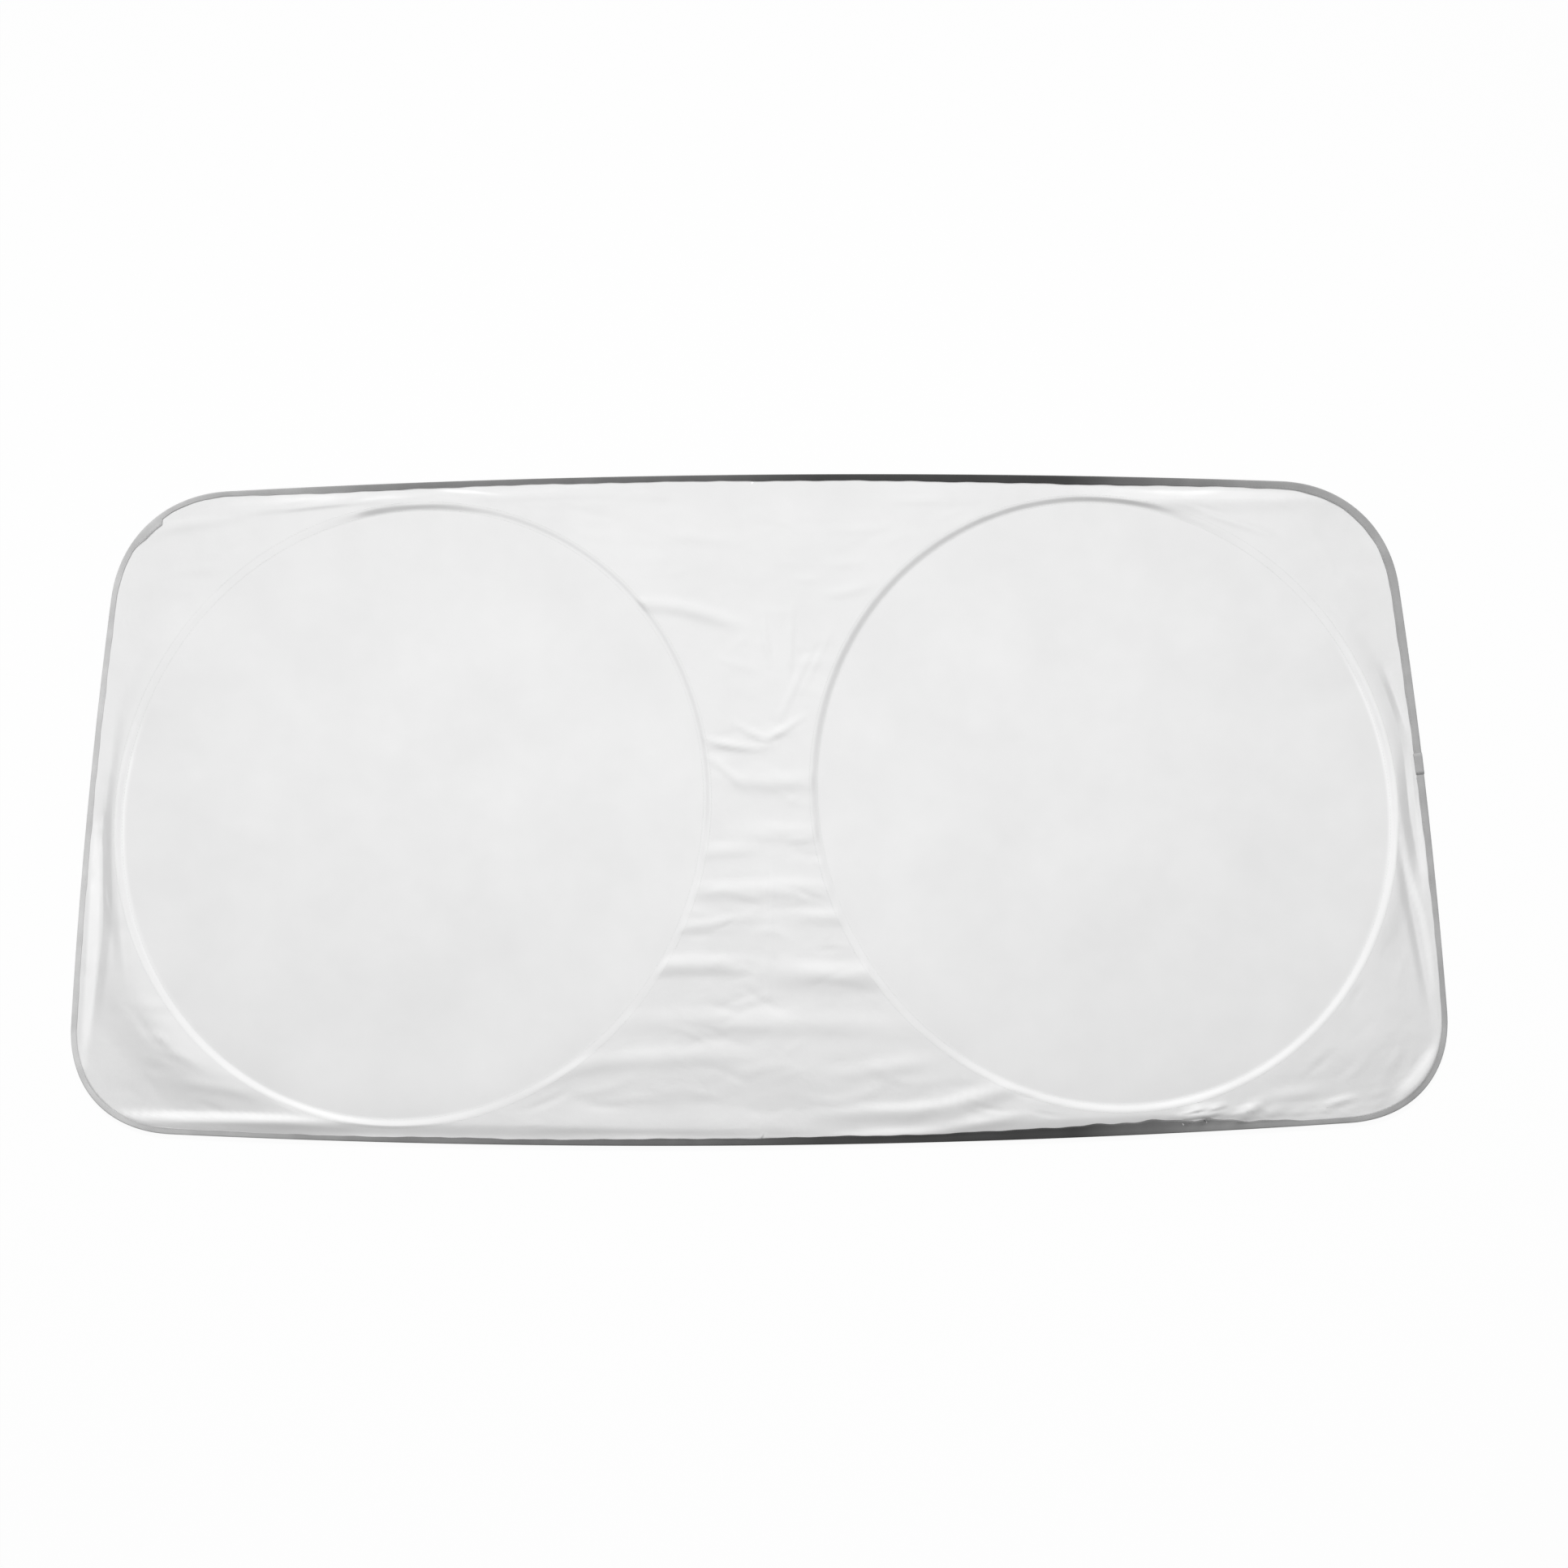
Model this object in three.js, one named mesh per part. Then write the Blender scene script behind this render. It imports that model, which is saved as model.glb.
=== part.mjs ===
// A pop-up windscreen sunshade that lies open on its back: one sheet of fabric, kept flat by two sprung
// hoops sewn behind it and by a sprung wire in the tape that binds its edge.
// Millimetres, +Z up, front face up. The origin is under the middle of the outline, on the surface it lies on.

import * as THREE from 'three';

// Outline, measured to the outside of the binding
const TOP_SPAN = 1326.8; // between the points where the bowed top edge and the sides would meet
const BOTTOM_SPAN = 1464.8;
const DEPTH = 665.6; // from the upper to the lower pair of those points
const TOP_BOW = 17.4;
const BOTTOM_BOW = 24.6;
const SIDE_BOW = 8.6;
const TOP_CORNER = 108.4; // how far a rounded corner reaches back along its two edges
const BOTTOM_CORNER = 110.1;
const CORNER_FULLNESS = 0.61; // how far the corner's curve leans out towards its point, as a share of its reach

// Hoops, measured from the edge of the shade and from its middle line to the hoop's wire
const HOOP_LEAN = 26; // degrees between the hoop's long axis and upright, leaning to the middle at the top
const LEFT_HOOP = { top: 24.5, bottom: 20.5, side: 32, middle: 52.1 };
const RIGHT_HOOP = { top: 23.7, bottom: 29, side: 34, middle: 59.4 };

// Cloth and tape
const PANEL_THICKNESS = 0.5;
const BINDING_THICKNESS = 0.5;
const CASING_THICKNESS = 0.4;
const CASING_WIDTH = 12;
const BACK_FLAP = 11; // width of the binding on the back
const BINDING_ROUND = 0.9; // rounding where the binding turns over the edge
const BINDING_SLOPE = 1.6; // width over which the binding drops from the wire to its flat flap
const RIDGE_FOOT = 5.5; // from the hoop's wire to the seam on each side of it, where its ridge ends
const CREST_MARGIN = 0.2; // how much wider than the wire the top of its ridge is, on each side

// Width of the binding on the front, as it shows: the tape was sewn on unevenly.
// Each row is [share of the way round, clockwise from the middle of the top edge, width].
const FRONT_FLAP = [
  [0.0, 6.7], [0.023, 6.7], [0.044, 7.6], [0.066, 8.4], [0.087, 9.3], [0.109, 8.6], [0.13, 7.8], [0.152, 9],
  [0.19, 9.5], [0.21, 9.3], [0.235, 7.4], [0.24, 9], [0.26, 8], [0.29, 6.8], [0.31, 8], [0.33, 8], [0.349, 6.5],
  [0.358, 8.5], [0.37, 10.5], [0.38, 13.5], [0.392, 14.5], [0.4135, 12.5], [0.435, 10.5], [0.456, 8.5],
  [0.478, 9], [0.499, 7.5], [0.521, 7.8], [0.542, 6.8], [0.564, 6.2], [0.585, 7], [0.607, 6.2], [0.628, 6.6],
  [0.65, 8], [0.68, 7], [0.71, 6], [0.828, 6], [0.834, 9.5], [0.841, 9.5], [0.8415, 6], [0.872, 6.8],
  [0.893, 7.4], [0.915, 6.6], [0.937, 5.9], [0.958, 6.6], [0.98, 6], [1.0, 6.7],
];

// The slack cloth round the hoops stands a little above the taut cloth inside them
const RIM_RISE = 1.2; // where it leaves the binding
const SLACK_RISE = 2; // and how much more far from the edge
const SLACK_START = 14; // how far in from the edge it starts to rise further
const SLACK_END = 74; // and where it has risen all the way

// How far in from the edge the folds start, and over what width they rise to their full height
const FLAT_RIM = 12;
const FOLD_FADE = 12;
const FOLD_TAPER = 0.06; // share of a fold's length from which it stands up at its ends
const FOLD_RISE = 2.6; // height of the highest fold
const FOLD_SPREAD = 17; // how far a fold reaches to each side

// Spring wire and the sleeves crimped over its ends
const WIRE_DIAMETER = 2;
const FERRULE_WALL = 0.35;
const FERRULE_CLEARANCE = 0.3;
const FERRULE_LENGTH = 22;
const WIRE_END_GAP = 0.6;
const CLEARANCE = 0.3; // between any two layers

// Where the loops are joined: on the right side, and where each hoop faces the bottom edge
const EDGE_JOIN = 0.236; // share of the way round, clockwise from the middle of the top edge
const HOOP_JOIN = 0.8; // share of the stations from there to the middle of the bottom edge

// Facets: along half the top edge, a top corner, a side, a bottom corner and half the bottom edge
const HALF_TOP_STEPS = 14;
const CORNER_STEPS = 8;
const SIDE_STEPS = 12;
const HALF_BOTTOM_STEPS = 14;
const SEAM_STEPS = 40; // down the middle line
const WIRE_SIDES = 6;
const FERRULE_SIDES = 8;
const DRUM_ROW = 0.55; // share of the hoop's radius where the flat middle of its cloth ends
const SLACK_ROWS = 4; // rows of facets across the slack cloth between a hoop and the edge

// Folds in the slack cloth, as ridges along the lines that they follow. The rise is a share of the highest
// fold's, and points are shares of half the width and half the depth.
const FOLDS = [
  // Along the top
  { rise: 0.6, path: [[-0.640, 0.924], [-0.430, 0.934], [-0.170, 0.947]] },
  { rise: 0.5, path: [[0.500, 0.921], [0.700, 0.907], [0.810, 0.902]] },
  // Between the hoops, from the top edge down
  { rise: 0.4, path: [[-0.145, 0.837], [-0.022, 0.814]] },
  { rise: 0.4, path: [[0.109, 0.848], [0.199, 0.848]] },
  { rise: 0.5, path: [[0.096, 0.653], [0.172, 0.687]] },
  { rise: 0.9, path: [[-0.164, 0.619], [-0.096, 0.605], [-0.016, 0.562]] },
  { rise: 0.7, path: [[0.082, 0.520], [0.049, 0.396], [0.019, 0.271]] },
  { rise: 0.7, path: [[-0.068, 0.226], [-0.019, 0.204], [0.033, 0.192], [0.071, 0.266]] },
  { rise: 0.6, path: [[-0.044, -0.028], [0.063, -0.045]] },
  { rise: 0.8, path: [[-0.079, -0.220], [0.000, -0.226], [0.085, -0.237]] },
  { rise: 1.0, path: [[-0.142, -0.447], [-0.061, -0.447], [0.025, -0.432]] },
  { rise: 0.8, path: [[0.055, -0.458], [0.147, -0.514]] },
  { rise: 0.7, path: [[0.060, -0.627], [0.150, -0.633], [0.221, -0.642]] },
  { rise: 0.8, path: [[-0.175, -0.596], [-0.011, -0.596]] },
  { rise: 0.9, path: [[-0.292, -0.757], [-0.191, -0.718], [-0.096, -0.712]] },
  { rise: 1.0, path: [[0.358, -0.820], [0.265, -0.873], [0.171, -0.885], [0.076, -0.893]] },
  // Along the sides and in the corners
  { rise: 0.9, path: [[-0.945, 0.124], [-0.942, -0.170], [-0.960, -0.497]] },
  { rise: 0.9, path: [[0.928, -0.113], [0.942, -0.311], [0.964, -0.520]] },
  { rise: 0.4, path: [[-0.907, -0.574], [-0.849, -0.560]] },
  { rise: 0.5, path: [[-0.863, -0.692], [-0.808, -0.741]] },
];

const wireRadius = WIRE_DIAMETER / 2;
const ferruleRadius = wireRadius + FERRULE_CLEARANCE + FERRULE_WALL;
const panelBottom = BINDING_THICKNESS + CLEARANCE;
const panelTop = panelBottom + PANEL_THICKNESS;
const rimTop = panelTop + RIM_RISE;
const upperY = (DEPTH + TOP_BOW + BOTTOM_BOW) / 2 - TOP_BOW;
const lowerY = upperY - DEPTH;
const halfWidth = BOTTOM_SPAN / 2;
const halfDepth = upperY + TOP_BOW;

// Outline

// One edge from corner point to corner point, bowed outwards as a parabola.
function bowedEdge(from, to, bow) {
  const along = to.clone().sub(from);
  const outwards = new THREE.Vector2(-along.y, along.x).normalize();
  const control = from.clone().add(to).multiplyScalar(0.5).addScaledVector(outwards, 2 * bow);
  return new THREE.QuadraticBezierCurve(from, control, to);
}

const topRight = new THREE.Vector2(TOP_SPAN / 2, upperY);
const bottomRight = new THREE.Vector2(BOTTOM_SPAN / 2, lowerY);
const mirrored = (point) => new THREE.Vector2(-point.x, point.y);
const topEdge = bowedEdge(mirrored(topRight), topRight, TOP_BOW);
const rightEdge = bowedEdge(topRight, bottomRight, SIDE_BOW);
const bottomEdge = bowedEdge(bottomRight, mirrored(bottomRight), BOTTOM_BOW);

// Stations from one place on an edge to another, each with its point and its outward direction.
function edgeStations(edge, start, end, steps) {
  const stations = [];
  for (let i = 0; i < steps; i++) {
    const t = THREE.MathUtils.lerp(start, end, i / steps);
    stations.push(station(edge.getPoint(t), edge.getTangent(t)));
  }
  return stations;
}

function station(point, tangent) {
  return { point, outwards: new THREE.Vector2(-tangent.y, tangent.x) };
}

// A rounded corner that leaves one edge and meets the next without a kink.
function cornerStations(before, tBefore, after, tAfter, reach) {
  const lean = reach * CORNER_FULLNESS;
  const start = before.getPoint(tBefore);
  const end = after.getPoint(tAfter);
  const curve = new THREE.CubicBezierCurve(
    start,
    start.clone().addScaledVector(before.getTangent(tBefore), lean),
    end.clone().addScaledVector(after.getTangent(tAfter), -lean),
    end,
  );
  return edgeStations(curve, 0, 1, CORNER_STEPS);
}

// The right half, clockwise from the middle of the top edge to the middle of the bottom edge.
function rightHalfStations() {
  const topEnd = 1 - TOP_CORNER / TOP_SPAN;
  const sideLength = topRight.distanceTo(bottomRight);
  const sideStart = TOP_CORNER / sideLength;
  const sideEnd = 1 - BOTTOM_CORNER / sideLength;
  const bottomStart = BOTTOM_CORNER / BOTTOM_SPAN;
  return [
    ...edgeStations(topEdge, 0.5, topEnd, HALF_TOP_STEPS),
    ...cornerStations(topEdge, topEnd, rightEdge, sideStart, TOP_CORNER),
    ...edgeStations(rightEdge, sideStart, sideEnd, SIDE_STEPS),
    ...cornerStations(rightEdge, sideEnd, bottomEdge, bottomStart, BOTTOM_CORNER),
    ...edgeStations(bottomEdge, bottomStart, 0.5, HALF_BOTTOM_STEPS),
    station(bottomEdge.getPoint(0.5), bottomEdge.getTangent(0.5)),
  ];
}

// Round the outline, with the left half mirrored from the right, and each station's share of the way.
function outlineStations() {
  const right = rightHalfStations();
  const left = right.slice(1, -1).reverse().map(({ point, outwards }) => (
    { point: mirrored(point), outwards: mirrored(outwards) }
  ));
  const loop = [...right, ...left];
  let length = 0;
  for (const [i, here] of loop.entries()) {
    here.way = length;
    length += here.point.distanceTo(loop[(i + 1) % loop.length].point);
  }
  for (const here of loop) here.way /= length;
  return loop;
}

const outline = outlineStations();

// Straight stretches need half the facets: every second station along the edges, and every corner station.
function coarseOutline() {
  const half = [HALF_TOP_STEPS, CORNER_STEPS, SIDE_STEPS, CORNER_STEPS, HALF_BOTTOM_STEPS];
  const spans = [...half, ...half.slice().reverse()];
  const kept = [];
  let first = 0;
  for (const [i, steps] of spans.entries()) {
    const stride = i % 5 === 1 || i % 5 === 3 ? 1 : 2;
    for (let k = 0; k < steps; k += stride) kept.push(outline[first + k]);
    first += steps;
  }
  return kept;
}

function frontFlap(way) {
  const next = FRONT_FLAP.findIndex(([share]) => share > way);
  const [share1, width1] = FRONT_FLAP[next];
  const [share0, width0] = FRONT_FLAP[next - 1];
  return THREE.MathUtils.mapLinear(way, share0, share1, width0, width1);
}

// Hoops

// The ellipse of a hoop's wire, from its distances to the edges; side is -1 for the left hoop, 1 for the right.
function hoopEllipse({ top, bottom, side, middle }, sign) {
  const outer = rightEdge.getPoint(0.5).x - side;
  const centreX = (outer + middle) / 2;
  const reachX = (outer - middle) / 2;
  const share = centreX / TOP_SPAN;
  const high = topEdge.getPoint(0.5 + share).y - top;
  const low = bottomEdge.getPoint(0.5 - centreX / BOTTOM_SPAN).y + bottom;
  const reachY = (high - low) / 2;
  const lean = THREE.MathUtils.degToRad(HOOP_LEAN);
  const sum = reachX ** 2 + reachY ** 2;
  const difference = (reachY ** 2 - reachX ** 2) / Math.cos(2 * lean);
  return {
    centre: new THREE.Vector2(sign * centreX, (high + low) / 2),
    long: Math.sqrt((sum + difference) / 2),
    short: Math.sqrt((sum - difference) / 2),
    axis: new THREE.Vector2(-sign * Math.sin(lean), Math.cos(lean)),
  };
}

// The point of the ellipse that lies in a given direction from its centre, with its outward direction.
function ellipseStation(hoop, towards) {
  const direction = towards.clone().sub(hoop.centre).normalize();
  const across = new THREE.Vector2(hoop.axis.y, -hoop.axis.x);
  const along = direction.dot(hoop.axis);
  const beside = direction.dot(across);
  const radius = 1 / Math.hypot(along / hoop.long, beside / hoop.short);
  const outwards = hoop.axis.clone().multiplyScalar(along / hoop.long ** 2)
    .addScaledVector(across, beside / hoop.short ** 2).normalize();
  return { point: hoop.centre.clone().addScaledVector(direction, radius), outwards };
}

const leftHoop = hoopEllipse(LEFT_HOOP, -1);
const rightHoop = hoopEllipse(RIGHT_HOOP, 1);
const seamTop = outline[0].point.y;
const seamBottom = -seamTop;
const outlineHalf = outline.length / 2;
const hoopJoin = Math.round(HOOP_JOIN * outlineHalf);

// Stations round one half of the shade: along the outline, then up or down the middle line.
function halfStations(sign) {
  const stations = [];
  for (let i = 0; i <= outlineHalf; i++) {
    stations.push(outline[sign > 0 ? i : (outline.length - i) % outline.length]);
  }
  for (let i = 1; i < SEAM_STEPS; i++) {
    const y = THREE.MathUtils.lerp(seamBottom, seamTop, i / SEAM_STEPS);
    stations.push({ point: new THREE.Vector2(0, y), onSeam: true });
  }
  return stations;
}

// A hoop's loop of stations, with every second one left out beside the middle line.
function hoopLoop(hoop, sign) {
  const loop = [];
  for (const [i, here] of halfStations(sign).entries()) {
    if (here.onSeam && (i - outlineHalf) % 2 === 1) continue;
    loop.push(ellipseStation(hoop, here.point));
  }
  return loop;
}

// Lofts

// A solid through a row of like sections; closed joins the last to the first, otherwise the ends are capped.
function loft(sections, closed) {
  const size = sections[0].length;
  const positions = sections.flat().flatMap((p) => [p.x, p.y, p.z]);
  const index = [];
  const spans = closed ? sections.length : sections.length - 1;
  for (let i = 0; i < spans; i++) {
    const here = i * size;
    const there = ((i + 1) % sections.length) * size;
    for (let k = 0; k < size; k++) {
      const next = (k + 1) % size;
      index.push(here + k, there + k, there + next, here + k, there + next, here + next);
    }
  }
  if (!closed) {
    const last = (sections.length - 1) * size;
    for (let k = 1; k < size - 1; k++) {
      index.push(0, k, k + 1);
      index.push(last, last + k + 1, last + k);
    }
  }
  return solid(positions, index);
}

// A closed mesh whose faces point outwards, whichever way its sections ran.
function solid(positions, index) {
  let volume = 0;
  const at = (i) => new THREE.Vector3().fromArray(positions, index[i] * 3);
  for (let i = 0; i < index.length; i += 3) volume += at(i).dot(at(i + 1).cross(at(i + 2)));
  if (volume < 0) index.reverse();
  const geometry = new THREE.BufferGeometry();
  geometry.setAttribute('position', new THREE.Float32BufferAttribute(positions, 3));
  geometry.setIndex(index);
  geometry.computeVertexNormals();
  return geometry;
}

// A point beside a station: offset outwards in plan, at a height.
function beside({ point, outwards }, offset, z) {
  return new THREE.Vector3(point.x + outwards.x * offset, point.y + outwards.y * offset, z);
}

const sectionAt = (here, profile) => profile.map(([offset, z]) => beside(here, offset, z));

function circleProfile(radius, sides, offset, z) {
  return Array.from({ length: sides }, (_, k) => {
    const angle = ((k + 0.5) / sides) * 2 * Math.PI;
    return [offset + radius * Math.cos(angle), z + radius * Math.sin(angle)];
  });
}

// How far the core of a sewn channel, wire or sleeve, lies above the tape under it.
const coreHeight = (tape, core) => tape + CLEARANCE + core;

// A station between two others, for the wire's ends and the sleeve on the straight facet between them.
function between(a, b, shift) {
  const along = b.point.clone().sub(a.point);
  const length = along.length();
  along.divideScalar(length);
  const point = a.point.clone().addScaledVector(along, length / 2 + shift);
  const outwards = new THREE.Vector2(-along.y, along.x);
  if (outwards.dot(a.outwards) < 0) outwards.negate();
  return { point, outwards };
}

// A sprung wire bent to a loop. Its ends meet, a hair apart, in the sleeve on the facet after the station join.
// The loop is the channel's centre line: core moves each station's section to the sleeve's or the wire's place.
function wireLoop(loop, join, place) {
  const count = loop.length;
  const centres = loop.map((here, i) => {
    const core = i === join || i === join + 1 ? ferruleRadius : wireRadius;
    const { offset, z } = place(core);
    return { point: here.point.clone().addScaledVector(here.outwards, offset), outwards: here.outwards, z };
  });
  const round = (here) => sectionAt(here, circleProfile(wireRadius, WIRE_SIDES, 0, here.z));
  const start = centres[join];
  const end = centres[join + 1];
  const sections = [round({ ...between(start, end, WIRE_END_GAP / 2), z: start.z })];
  for (let i = 1; i <= count; i++) sections.push(round(centres[(join + i) % count]));
  sections.push(round({ ...between(start, end, -WIRE_END_GAP / 2), z: start.z }));
  return { geometry: loft(sections, false), start, end };
}

// The sleeve crimped over a wire's two ends.
function ferrule(start, end) {
  const inner = ferruleRadius - FERRULE_WALL;
  const ends = [-FERRULE_LENGTH / 2, FERRULE_LENGTH / 2].map((shift) => between(start, end, shift));
  const ring = (here, radius) => sectionAt(here, circleProfile(radius, FERRULE_SIDES, 0, start.z));
  const rings = [
    ring(ends[0], ferruleRadius),
    ring(ends[1], ferruleRadius),
    ring(ends[1], inner),
    ring(ends[0], inner),
  ];
  return loft(rings, true);
}

// Binding

// The tape's section as it wraps the edge wire, measured inwards from the outside of the outline.
function bindingProfile(core, flap) {
  const tape = BINDING_THICKNESS;
  const middle = coreHeight(tape, core);
  const crown = 2 * middle;
  const crownEnd = middle + core - CREST_MARGIN;
  const foot = middle + core + CLEARANCE + BINDING_SLOPE;
  const flapUnder = rimTop + CLEARANCE;
  const flapTop = flapUnder + tape;
  const bend = BINDING_ROUND;
  const innerBend = bend + CREST_MARGIN;
  return [
    [BACK_FLAP, 0], [bend, 0], [0, bend], [0, crown - bend], [bend, crown],
    [crownEnd, crown], [foot, flapTop], [flap, flapTop],
    [flap, flapUnder], [foot - CREST_MARGIN, flapUnder], [crownEnd - CREST_MARGIN / 2, crown - tape],
    [innerBend, crown - tape],
    [tape, crown - innerBend], [tape, innerBend], [innerBend, tape], [BACK_FLAP, tape],
  ].map(([inset, z]) => [-inset, z]);
}

function edgeBinding(loop, join) {
  return loft(loop.map((here, i) => {
    const core = i === join || i === join + 1 ? ferruleRadius : wireRadius;
    return sectionAt(here, bindingProfile(core, frontFlap(here.way)));
  }), true);
}

// Hoop casing

// The tape behind a hoop, sewn to the back of the cloth along both of its edges: it passes flat under the wire,
// and its outer edge follows the cloth up.
function hoopCasing(loop) {
  const half = CASING_WIDTH / 2;
  const tape = CASING_THICKNESS;
  return loft(loop.map((here) => {
    const lift = footHeight(here, wireRadius) - panelTop;
    return sectionAt(here, [
      [-half, 0], [ferruleRadius, 0], [half, lift], [half, lift + tape], [ferruleRadius, tape], [-half, tape],
    ]);
  }), true);
}

// Front panel

// Height of the folds above the flat cloth at a place: each ridge fades out sideways and towards its ends.
function foldHeight(x, y) {
  let height = 0;
  for (const { rise, path } of FOLDS) {
    const points = path.map(([sx, sy]) => new THREE.Vector2(sx * halfWidth, sy * halfDepth));
    let nearest = Infinity;
    let strength = 0;
    for (let i = 0; i < points.length - 1; i++) {
      const along = points[i + 1].clone().sub(points[i]);
      const from = new THREE.Vector2(x, y).sub(points[i]);
      const t = THREE.MathUtils.clamp(from.dot(along) / along.lengthSq(), 0, 1);
      const distance = from.addScaledVector(along, -t).length();
      if (distance < nearest) {
        nearest = distance;
        const way = THREE.MathUtils.clamp((i + t) / (points.length - 1), FOLD_TAPER, 1 - FOLD_TAPER);
        strength = Math.sin(Math.PI * way);
      }
    }
    const fade = Math.cos((Math.PI / 2) * Math.min(nearest / FOLD_SPREAD, 1)) ** 2;
    height += FOLD_RISE * rise * strength * fade;
  }
  return height;
}

// How far a place lies inside the outline, which bows outwards all the way round.
function insetAt(x, y) {
  const insets = outline.map(({ point, outwards }) => (
    (point.x - x) * outwards.x + (point.y - y) * outwards.y
  ));
  return Math.min(...insets);
}

// The raw edge of the cloth runs just clear of the sleeve on the edge wire, all the way round.
const hemInset = coreHeight(BINDING_THICKNESS, ferruleRadius) + ferruleRadius + CLEARANCE;

// Height of the slack cloth at a place, without its folds.
function slackHeight(x, y) {
  return rimTop + SLACK_RISE * THREE.MathUtils.smoothstep(insetAt(x, y), SLACK_START, SLACK_END);
}

// Top of the cloth where it lies over a hoop's core.
const ridgeHeight = (core) => coreHeight(CASING_THICKNESS, core) + core + CLEARANCE + PANEL_THICKNESS;

// Top of the cloth at the seam outside a hoop: it drops to the slack cloth, or runs on to it where that is higher.
function footHeight(ring, core) {
  const foot = beside(ring, RIDGE_FOOT, 0);
  return Math.min(slackHeight(foot.x, foot.y), ridgeHeight(core));
}

// The columns of points of one half, from the hoop's middle out to the hem or to the middle line.
function halfColumns(hoop, sign) {
  return halfStations(sign).map((here, i) => {
    const ring = ellipseStation(hoop, here.point);
    const core = i === hoopJoin || i === hoopJoin + 1 ? ferruleRadius : wireRadius;
    const ridge = ridgeHeight(core);
    const crest = core + CREST_MARGIN;
    const drum = hoop.centre.clone().lerp(ring.point, DRUM_ROW);
    const column = [
      new THREE.Vector3(drum.x, drum.y, panelTop),
      beside(ring, -RIDGE_FOOT, panelTop),
      beside(ring, -crest, ridge),
      beside(ring, crest, ridge),
      beside(ring, RIDGE_FOOT, footHeight(ring, core)),
    ];
    const foot = column.at(-1);
    const ends = here.onSeam ? seamEnd(here, foot) : hemEnd(here, foot);
    for (let k = 1; k <= SLACK_ROWS; k++) {
      const place = foot.clone().lerp(ends[0], k / (SLACK_ROWS + 1));
      column.push(slackPoint(place));
    }
    column.push(...ends);
    return column;
  });
}

// A point of the slack cloth, lifted by the folds that cross it but flat under the binding.
function slackPoint(place) {
  const free = THREE.MathUtils.smoothstep(insetAt(place.x, place.y), FLAT_RIM, FLAT_RIM + FOLD_FADE);
  place.z = slackHeight(place.x, place.y) + foldHeight(place.x, place.y) * free;
  return place;
}

function seamEnd(here, foot) {
  const seam = slackPoint(new THREE.Vector3(here.point.x, here.point.y, 0));
  const before = slackPoint(foot.clone().lerp(seam, 1 - 0.5 / (SLACK_ROWS + 1)));
  return [before, seam];
}

function hemEnd(here, foot) {
  const hem = beside(here, -hemInset, rimTop);
  const back = foot.clone().sub(hem).setZ(0).normalize();
  const slant = -(back.x * here.outwards.x + back.y * here.outwards.y);
  const flapEdge = hem.clone().addScaledVector(back, (frontFlap(here.way) + 1 - hemInset) / slant);
  return [flapEdge, hem];
}

function frontPanel() {
  const positions = [];
  const index = [];
  const found = new Map();
  // One number for each place, so that the halves share the points of the middle line.
  const vertex = (p, layer) => {
    const key = `${p.x.toFixed(3)} ${p.y.toFixed(3)} ${layer}`;
    if (!found.has(key)) {
      found.set(key, positions.length / 3);
      positions.push(p.x, p.y, layer ? p.z - PANEL_THICKNESS : p.z);
    }
    return found.get(key);
  };
  const face = (a, b, c, flip) => {
    for (const layer of [0, 1]) {
      const corners = [a, b, c].map((p) => vertex(p, layer));
      if (flip !== (layer === 1)) corners.reverse();
      index.push(...corners);
    }
  };
  for (const [hoop, sign] of [[leftHoop, -1], [rightHoop, 1]]) {
    const columns = halfColumns(hoop, sign);
    const centre = new THREE.Vector3(hoop.centre.x, hoop.centre.y, panelTop);
    const flip = sign > 0;
    for (const [i, here] of columns.entries()) {
      const there = columns[(i + 1) % columns.length];
      face(centre, there[0], here[0], !flip);
      for (let k = 0; k < here.length - 1; k++) {
        face(here[k], there[k], there[k + 1], !flip);
        face(here[k], there[k + 1], here[k + 1], !flip);
      }
      if (i < outlineHalf) {
        const rim = [here.at(-1), there.at(-1)];
        const [a, b] = rim.map((p) => vertex(p, 0));
        const [c, d] = rim.map((p) => vertex(p, 1));
        const wall = [a, b, d, a, d, c];
        index.push(...(flip ? wall : wall.reverse()));
      }
    }
  }
  return solid(positions, index);
}

// Materials
const silverCloth = new THREE.MeshStandardMaterial({ color: 0xe9e9e9, roughness: 0.5, metalness: 0.15 });
const blackTape = new THREE.MeshStandardMaterial({ color: 0x26272a, roughness: 0.75, metalness: 0 });
const greyTape = new THREE.MeshStandardMaterial({ color: 0xc9cacc, roughness: 0.8, metalness: 0 });
const springSteel = new THREE.MeshStandardMaterial({ color: 0x8d9095, roughness: 0.35, metalness: 1 });
const crimpedSteel = new THREE.MeshStandardMaterial({ color: 0xb4b6ba, roughness: 0.3, metalness: 1 });

const group = new THREE.Group();

function add(name, geometry, material) {
  const mesh = new THREE.Mesh(geometry, material);
  mesh.name = name;
  group.add(mesh);
}

add('front_panel', frontPanel(), silverCloth);

const edge = coarseOutline();
const edgeJoin = Math.round(EDGE_JOIN * edge.length);
add('edge_binding', edgeBinding(edge, edgeJoin), blackTape);

const edgePlace = (core) => {
  const middle = coreHeight(BINDING_THICKNESS, core);
  return { offset: -middle, z: middle };
};
const perimeter = wireLoop(edge, edgeJoin, edgePlace);
add('perimeter_wire', perimeter.geometry, springSteel);
add('perimeter_ferrule', ferrule(perimeter.start, perimeter.end), crimpedSteel);

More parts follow.
